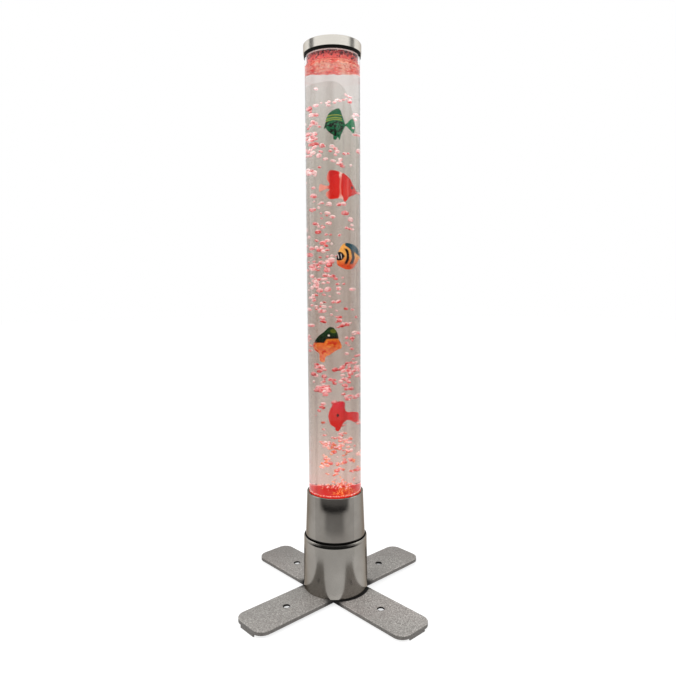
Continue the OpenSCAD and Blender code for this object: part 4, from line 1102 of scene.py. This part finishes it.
    @staticmethod
    def show(piece: Piece, tree: Tree, glow: Number, seen: Seen) -> None:
        """Lets a stage card glow, and leaves it visible to one kind of ray only.

        Args:
            piece: the card.
            tree: its material's nodes.
            glow: the strength of its glow over its face.
            seen: the rays that see it.
        """
        light = tree.add("ShaderNodeEmission", None, {"Color": WHITE, "Strength": glow})
        tree.add("ShaderNodeOutputMaterial", None, {"Surface": light.outputs[0]})
        piece.visible_camera = piece.visible_diffuse = piece.visible_shadow = False
        piece.visible_glossy = seen is Seen.IN_GLOSS
        piece.visible_transmission = seen is Seen.THROUGH

    def lamp(self, name: str, place: Sequence[float], side: float, watts: float) -> None:
        """A large soft light that faces the lamp's middle.

        Args:
            name: the light's name.
            place: where it hangs.
            side: the side of its square face.
            watts: its power.
        """
        data = bpy.data.lights.new(name, "AREA")
        data.size, data.energy = side, watts
        piece = bpy.data.objects.new(name, data)
        piece.visible_glossy = piece.visible_transmission = False
        aim = Vector((0, 0, self.aim_z)) - Vector(place)
        piece.matrix_world = Matrix.Translation(place) @ aim.to_track_quat("-Z", "Y").to_matrix().to_4x4()
        bpy.context.scene.collection.objects.link(piece)

    def build(self) -> None:
        """Sets up the whole studio."""
        scene = bpy.context.scene
        scene.view_settings.view_transform = "Standard"
        self.camera()
        self.room()
        self.floor()
        self.lamp("key", (-1.6, -1.8, 2.4), 1.6, 42)
        self.lamp("fill", (2.0, -1.2, 1.6), 1.4, 18)
        self.shade()
        for card in CARDS:
            self.card(card)
        log.info("studio: camera, room, floor, two lights and %d cards", len(CARDS))


# ---- the lamp

@dataclass(frozen=True)
class Unit:
    """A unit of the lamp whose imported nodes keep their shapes: finishes, each with the nodes that wear it."""

    what: str
    rows: tuple[tuple[Finish, str], ...]

    def build(self) -> None:
        """Dresses the unit's nodes."""
        for finish, nodes in self.rows:
            dress(finish, *nodes.split())
        log.info("%s: dressed", self.what)


UNITS = (
    Unit("cross foot", (
        (StippledPaint("stippled_silver_paint"), "foot_bar_upper"),
        (StippledPaint("stippled_silver_paint_shaded", top_z=12.2 * MM, under=1.0), "foot_bar_lower"),
        (SCREW_STEEL, "foot_bolts"),
    )),
    Unit("base", (
        (SatinLacquer("silver_lacquer"), "base_housing"),
        (SatinLacquer("silver_lacquer_collar", srgb(143, 139, 133), srgb(126, 121, 115), 0.05),
         "base_collar"),
        (DARK_MOULDING, "base_plate"),
        (SCREW_STEEL, "plate_screws collar_screws"),
    )),
    Unit("top cap", (
        (TurnedMetal("turned_light_metal"), "top_cap"),
        (BLACK_RUBBER, "cap_gasket"),
    )),
    Unit("light", (
        (ClearAcrylic("window_acrylic"), "light_window"),
        (Moulding("white_solder_mask", srgb(228, 228, 224), 0.3, 0.1), "led_board"),
        (LightChip("light_chip"), "led_chips"),
        (WHITE_MOULDING, "led_socket"),
        (SCREW_STEEL, "led_board_screws"),
    )),
    Unit("air line", (
        (WHITE_MOULDING, "air_nozzle check_valve"),
        (LitStone("lit_stone"), "air_stone"),
        (Moulding("silicone_hose", srgb(206, 214, 214), 0.25, 0.05), "air_hose_lower air_hose_upper"),
    )),
    Unit("pump", (
        (PUMP_MOULDING, "pump_case pump_lid pump_valve_block"),
        (BLACK_RUBBER, "pump_feet pump_diaphragm"),
        (Steel("core_iron", srgb(112, 112, 118), 0.5), "pump_core"),
        (WHITE_MOULDING, "coil_bobbin"),
        (CopperTurns("copper_turns"), "coil_winding"),
        (SCREW_STEEL, "pump_pin"),
        (DARK_MOULDING, "pump_arm"),
        (Steel("plated_magnet", srgb(186, 186, 190), 0.15), "arm_magnet"),
    )),
    Unit("controls", (
        (Moulding("green_solder_mask", srgb(22, 96, 54), 0.3, 0.1), "control_board"),
        (DARK_MOULDING, "board_components switch_body power_jack"),
        (WHITE_MOULDING, "switch_plunger"),
        (Moulding("polished_black", srgb(30, 30, 32), 0.2, 0.1), "mode_button"),
        (Steel("nickel_nut", srgb(196, 190, 180), 0.25), "jack_nut"),
        (Rubber("black_sheath", srgb(22, 22, 24)), "inlet_lead coil_lead"),
        (Rubber("red_sheath", srgb(130, 26, 26), srgb(160, 60, 58)), "light_lead"),
    )),
    Unit("tube", (
        (ClearAcrylic("polished_acrylic"), "acrylic_tube"),
        (BLACK_RUBBER, "tube_seal"),
        (OpalGlow("opal_floor"), "tube_floor"),
    )),
)


@dataclass(frozen=True)
class Plume:
    """A stretch of rising bubbles: heights as shares of the water's depth, places in millimetres."""

    low: float
    high: float
    middle: float
    spread: float
    count: int
    depth: float = -6
    deep: float = 18
    clustered: float = 0.35
    widths: tuple[float, ...] = (4, 5, 6, 7, 8, 9.5)
    blush: float = 1.0


PLUMES = (
    Plume(0.93, 0.96, -2, 26, 12, 10, 20, 0.3, (4, 5, 6), 0.7),
    Plume(0.72, 0.93, -31, 6, 42, clustered=0.2),
    Plume(0.72, 0.93, -4, 12, 16, clustered=0.15, blush=0.8),
    Plume(0.72, 0.93, 30, 7, 12, clustered=0.1, blush=0.8),
    Plume(0.39, 0.72, -22, 13, 92, clustered=0.15),
    Plume(0.39, 0.72, 6, 15, 58, clustered=0.15),
    Plume(0.34, 0.39, -33, 3, 8, clustered=0.2),
    Plume(0.27, 0.33, -19, 8, 18, clustered=0.3),
    Plume(0.19, 0.39, -22, 11, 24),
    Plume(0.19, 0.39, 25, 10, 62),
    Plume(0.03, 0.19, 16, 13, 70, -6, 18, 0.45, (3.4, 4.4, 5.4, 6.4, 8)),
    Plume(0.03, 0.19, -14, 14, 26, -6, 18, 0.35, (3.4, 4.4, 5.4, 7)),
    Plume(0.004, 0.03, 17, 11, 60, -22, 9, 0.3, (2.2, 3, 3.6)),
    Plume(0.0, 0.012, 0, 22, 26, -24, 12, 0.3, (2, 2.6)),
)


@dataclass
class WaterColumn:
    """The water in the clear tube, the foam under its surface, the spray over it and the bubbles."""

    keep_out: list[tuple[Vector, Vector]]
    bore_r: float = 47 * MM
    overlap: float = 0.05 * MM
    floor_z: float = 203.9 * MM
    surface_z: float = 987 * MM
    beads: int = 90
    seed: int = 11
    ripples: tuple[Pair, ...] = (
        (1.5, -0.8), (2.5, -0.4), (7, 0.5), (8, -0.5), (9, 0.4), (9, -0.3),
    )
    foam_rings: tuple[float, ...] = (2, 3, 4, 5, 5, 6, 6, 6, 5)
    first_rise: float = 9 * MM
    rise_short: float = 22 * MM
    wall_gap: float = 0.6 * MM
    wall_share: float = 0.62
    fish_share: float = 0.55
    spacing: float = 0.4
    lean: float = 0.4
    wider: Pair = (0.9, 1.25)
    taller: Pair = (0.8, 1.25)
    bead_inset: Pair = (1.9, 2.6)
    bead_rise: Pair = (0.9, 2.4)
    bead_width: Pair = (1.8, 2.8)
    bead_blush: float = 0.25
    foam_inset: float = 1.4 * MM
    foam_span: Pair = (-3.8 * MM, -1.8 * MM)
    spray_inset: float = 0.8 * MM
    spray_span: Pair = (0.6 * MM, 17.6 * MM)

    @staticmethod
    def drum(name: str, radius: float, foot: float, top: float, sides: int = 96) -> Piece:
        """A round block in the tube.

        Args:
            name: its name.
            radius: its radius.
            foot: the height of its lower face.
            top: the height of its upper face.
            sides: how many faces go round it.

        Returns:
            The new object.
        """
        return start(
            bpy.ops.mesh.primitive_cylinder_add, name,
            vertices=sides, radius=radius, depth=top - foot, location=(0, 0, (foot + top) / 2),
        )

    def water(self) -> None:
        """The water: a round column whose surface climbs at the wall and ripples."""
        water = self.drum("water_column", self.bore_r + self.overlap, self.floor_z, self.surface_z, 128)
        with editing():
            pick(water, "FACE", lambda place, normal: normal.z > 0.9)
            for width, drop in self.ripples:
                bpy.ops.mesh.inset(thickness=width * MM)
                bpy.ops.transform.translate(value=(0, 0, drop * MM))
        bpy.ops.object.shade_smooth_by_angle(angle=math.radians(50))
        water.visible_shadow = False
        hand_over(water, TankWater("tank_water", self.floor_z, self.surface_z))

    def foam(self) -> None:
        """The churned layer just under the surface, with a ragged lower face."""
        foot, top = (self.surface_z + part for part in self.foam_span)
        foam = self.drum("surface_foam", self.bore_r - self.foam_inset, foot, top)
        with editing():
            pick(foam, "FACE", lambda place, normal: abs(normal.z) > 0.9)
            for width in self.foam_rings:
                bpy.ops.mesh.inset(thickness=width * MM)
        churn = bpy.data.textures.new("churn", "CLOUDS")
        churn.noise_scale = 8 * MM
        modify(foam, "SUBSURF", levels=1, render_levels=1)
        modify(foam, "DISPLACE", texture=churn, direction="Z", strength=7 * MM, mid_level=0.8)
        bpy.ops.object.shade_smooth()
        hand_over(foam, FoamGlow("foam_glow"))

    def spray(self) -> None:
        """Froth and drops between the water and the gasket."""
        foot, top = (self.surface_z + part for part in self.spray_span)
        spray = self.drum("surface_spray", self.bore_r - self.spray_inset, foot, top)
        with editing():
            pick(spray, "FACE", lambda place, normal: abs(normal.z) > 0.9)
            bpy.ops.mesh.inset(thickness=6 * MM)
            pick(spray, "FACE", lambda place, normal: abs(normal.z) < 0.5)
            bpy.ops.mesh.subdivide(number_cuts=4)
            bpy.ops.transform.vertex_random(offset=0.6 * MM, uniform=0.4, normal=0.6, seed=3)
        bpy.ops.object.shade_smooth()
        hand_over(spray, SprayFilm("spray_film", foot, top))

    @staticmethod
    def first_bubble() -> Piece:
        """One bubble of unit width: a flattened cap, with the depth under its crown as an attribute."""
        bubble = start(
            bpy.ops.mesh.primitive_uv_sphere_add, "first_bubble", segments=12, ring_count=8, radius=0.5
        )
        with editing():
            bpy.ops.mesh.select_all(action="SELECT")
            bpy.ops.transform.resize(value=(1, 1, 0.8))
            pick(bubble, "VERT", lambda place, normal: place.z < -0.1)
            bpy.ops.transform.resize(value=(1.04, 1.04, 0.75))
        bpy.ops.object.shade_smooth()
        under = bubble.data.attributes.new("under", "FLOAT", "POINT")
        # Each bubble's share of painted red lamp light.
        bubble.data.attributes.new("own", "FLOAT", "POINT")
        for k, vertex in enumerate(bubble.data.vertices):
            under.data[k].value = 0.5 - vertex.co.z / 0.75
        return bubble

    def stream(self, chance: random.Random, plume: Plume) -> tuple[Vector, float]:
        """A place and a width for the next bubble of a plume.

        Args:
            chance: the source of random numbers.
            plume: where it rises.

        Returns:
            The bubble's middle and its width.
        """
        share = chance.uniform(plume.low, plume.high)
        z = self.floor_z + self.first_rise + share * (self.surface_z - self.floor_z - self.rise_short)
        x = chance.gauss(plume.middle, plume.spread) * MM
        y = chance.gauss(plume.depth, plume.deep) * MM
        width = chance.choice(plume.widths) * MM * chance.uniform(0.85, 1.15)
        return Vector((x, y, z)), width

    def is_free(self, place: Vector, width: float) -> bool:
        """Whether a bubble fits here: inside the bore, clear of the fish and not in front of one."""
        if place.xy.length > self.bore_r - width * self.wall_share - self.wall_gap:
            return False
        room = Vector((width, width, width)) * self.fish_share
        for low, high in self.keep_out:
            inside = [low[k] - room[k] < place[k] < high[k] + room[k] for k in range(3)]
            if all(inside) or (inside[0] and inside[2] and place.y < high[1]):
                return False
        return True

    def bubble(
        self, first: Piece, place: Vector, width: float, blush: float, chance: random.Random
    ) -> Piece:
        """One more bubble, a little different from the first.

        Args:
            first: the bubble to copy.
            place: its middle.
            width: its width.
            blush: how much of the lamp's red light it may be painted with, from 0 to 1.
            chance: the source of random numbers.

        Returns:
            The new bubble.
        """
        bubble = bpy.data.objects.new("bubble", first.data.copy())
        lean, turn = chance.uniform(-self.lean, self.lean), chance.uniform(0, 6.28)
        turned = Matrix.Rotation(lean, 4, "Y") @ Matrix.Rotation(turn, 4, "Z")
        wide, tall = width * chance.uniform(*self.wider), width * chance.uniform(*self.taller)
        sized = Matrix.Diagonal((wide, width, tall, 1))
        bubble.data.transform(Matrix.Translation(place) @ turned @ sized)
        # This bubble's share of painted red lamp light.
        own = chance.random() * blush
        for item in bubble.data.attributes["own"].data:
            item.value = own
        bpy.context.scene.collection.objects.link(bubble)
        return bubble

    def bubbles(self) -> None:
        """Hundreds of bubbles in four stretches of the column, each stretch one piece."""
        chance = random.Random(self.seed)
        first = self.first_bubble()
        stretches: dict[int, list[Piece]] = {k: [] for k in range(4)}
        made: list[tuple[Vector, float]] = []
        for plume in PLUMES:
            left = plume.count
            while left:
                place, width = self.stream(chance, plume)
                if made and chance.random() < plume.clustered:
                    beside, wide = made[-1]
                    turn, reach = chance.uniform(0, 2 * math.pi), 0.5 * (width + wide)
                    aside, over = math.cos(turn) * reach, math.sin(turn) * reach * 0.8
                    place = beside + Vector((aside, chance.uniform(-1, 1) * MM, over))
                clear = all(
                    (place - other).length > self.spacing * (width + wide) for other, wide in made
                )
                if not (clear and self.is_free(place, width)):
                    continue
                left -= 1
                made.append((place, width))
                share = (place.z - self.floor_z) / (self.surface_z - self.floor_z)
                bubble = self.bubble(first, place, width, plume.blush, chance)
                stretches[min(3, int(share * 4))].append(bubble)
        for k in range(self.beads):
            turn = 2 * math.pi * (k + chance.uniform(-0.4, 0.4)) / self.beads
            reach = self.bore_r - chance.uniform(*self.bead_inset) * MM
            z = self.floor_z + chance.uniform(*self.bead_rise) * MM
            place = Vector((math.cos(turn) * reach, math.sin(turn) * reach, z))
            width = chance.uniform(*self.bead_width) * MM
            stretches[0].append(self.bubble(first, place, width, self.bead_blush, chance))
        bpy.data.objects.remove(first)
        for k, members in stretches.items():
            only(members[0])
            for member in members:
                member.select_set(True)
            bpy.ops.object.join()
            hand_over(named(f"bubbles_{k + 1}"), BubbleSkin("bubble_skin"))

    def build(self) -> None:
        """Builds the column from the outside in."""
        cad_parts["acrylic_tube"].visible_shadow = False
        self.water()
        self.foam()
        self.spray()
        self.bubbles()


@dataclass
class ToyFish:
    """One soft toy fish that drifts in the water: a smooth skin in place of its node."""

    node: str
    slot: str
    painter: Painter
    middle: Place
    turn: float
    length: float
    eye: Pair
    eye_r: float
    voxel: float = 0.55 * MM

    def to_frame(self, along: float, across: float, up: float) -> Vector:
        """A point of the fish, in body lengths, as a point of the frame."""
        local = Vector((along, across, up)) * self.length
        return Vector(self.middle) + Matrix.Rotation(math.radians(self.turn), 3, "Z") @ local

    def eyes(self, skin: Piece) -> list[Piece]:
        """A bulging eye on each side.

        Args:
            skin: the fish, on which the eyes sit.

        Returns:
            The two eyes.
        """
        made = []
        for side in (-1, 1):
            outside = self.to_frame(self.eye[0], side, self.eye[1])
            seat = skin.ray_cast(outside, self.to_frame(self.eye[0], 0, self.eye[1]) - outside)[1]
            made.append(start(
                bpy.ops.mesh.primitive_uv_sphere_add, "eye", (0.75, 0.8, 1.3),
                segments=20, ring_count=12, radius=self.eye_r, location=seat,
                rotation=(math.radians(90), 0, math.radians(self.turn)),
            ))
            made[-1].data.materials.append(EyePaint("eye_paint").make())
            bpy.ops.object.shade_smooth()
        return made

    def build(self) -> None:
        """Builds the fish and lets it stand for its node."""
        fish = smooth_copy(self.node, f"{self.node}_toy")
        modify(fish, "REMESH", mode="VOXEL", voxel_size=self.voxel)
        modify(fish, "SMOOTH", factor=0.5, iterations=9)
        bpy.ops.object.shade_smooth()
        turn = math.radians(self.turn)
        paint = FishPaint(f"{self.node}_paint", self.painter, self.middle, turn, self.length)
        fish.data.materials.append(paint.make())
        eyes = self.eyes(fish)
        only(fish)
        for eye in eyes:
            eye.select_set(True)
        bpy.ops.object.join()
        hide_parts(self.node)
        hand_over(fish, paint, self.node)


SHOAL = (
    ToyFish("green_fish", "green_fish", paint_leaf_green,
            (0.0035, -0.003, 0.888), 30, 0.030, (-0.22, -0.2), 0.0019),
    ToyFish("red_fish_upper", "red_fish", paint_pale_band,
            (0.0125, 0.001, 0.775), -4, 0.045, (0.34, -0.06), 0.0021),
    ToyFish("striped_fish", "striped_fish", paint_tiger,
            (0.020, 0.002, 0.649), 16, 0.034, (-0.18, 0.0), 0.0013),
    ToyFish("green_orange_fish", "green_orange_fish", paint_green_back,
            (-0.0105, -0.002, 0.486), 8, 0.042, (-0.22, 0.13), 0.0012),
    ToyFish("red_fish_lower", "red_fish", paint_plain_red,
            (0.0133, 0.0, 0.349), 6, 0.045, (-0.2, 0.085), 0.0023),
)


def main() -> None:
    """Builds the studio and the lamp, with the bubbles kept clear of the fish and the air stone."""
    logging.basicConfig(level=logging.INFO, format="%(name)s: %(message)s")
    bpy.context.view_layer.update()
    in_water = [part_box(fish.node) for fish in SHOAL] + [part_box("air_stone")]
    for part in (Studio(), *UNITS, WaterColumn(in_water), *SHOAL):
        part.build()


if __name__ == "__main__":
    main()
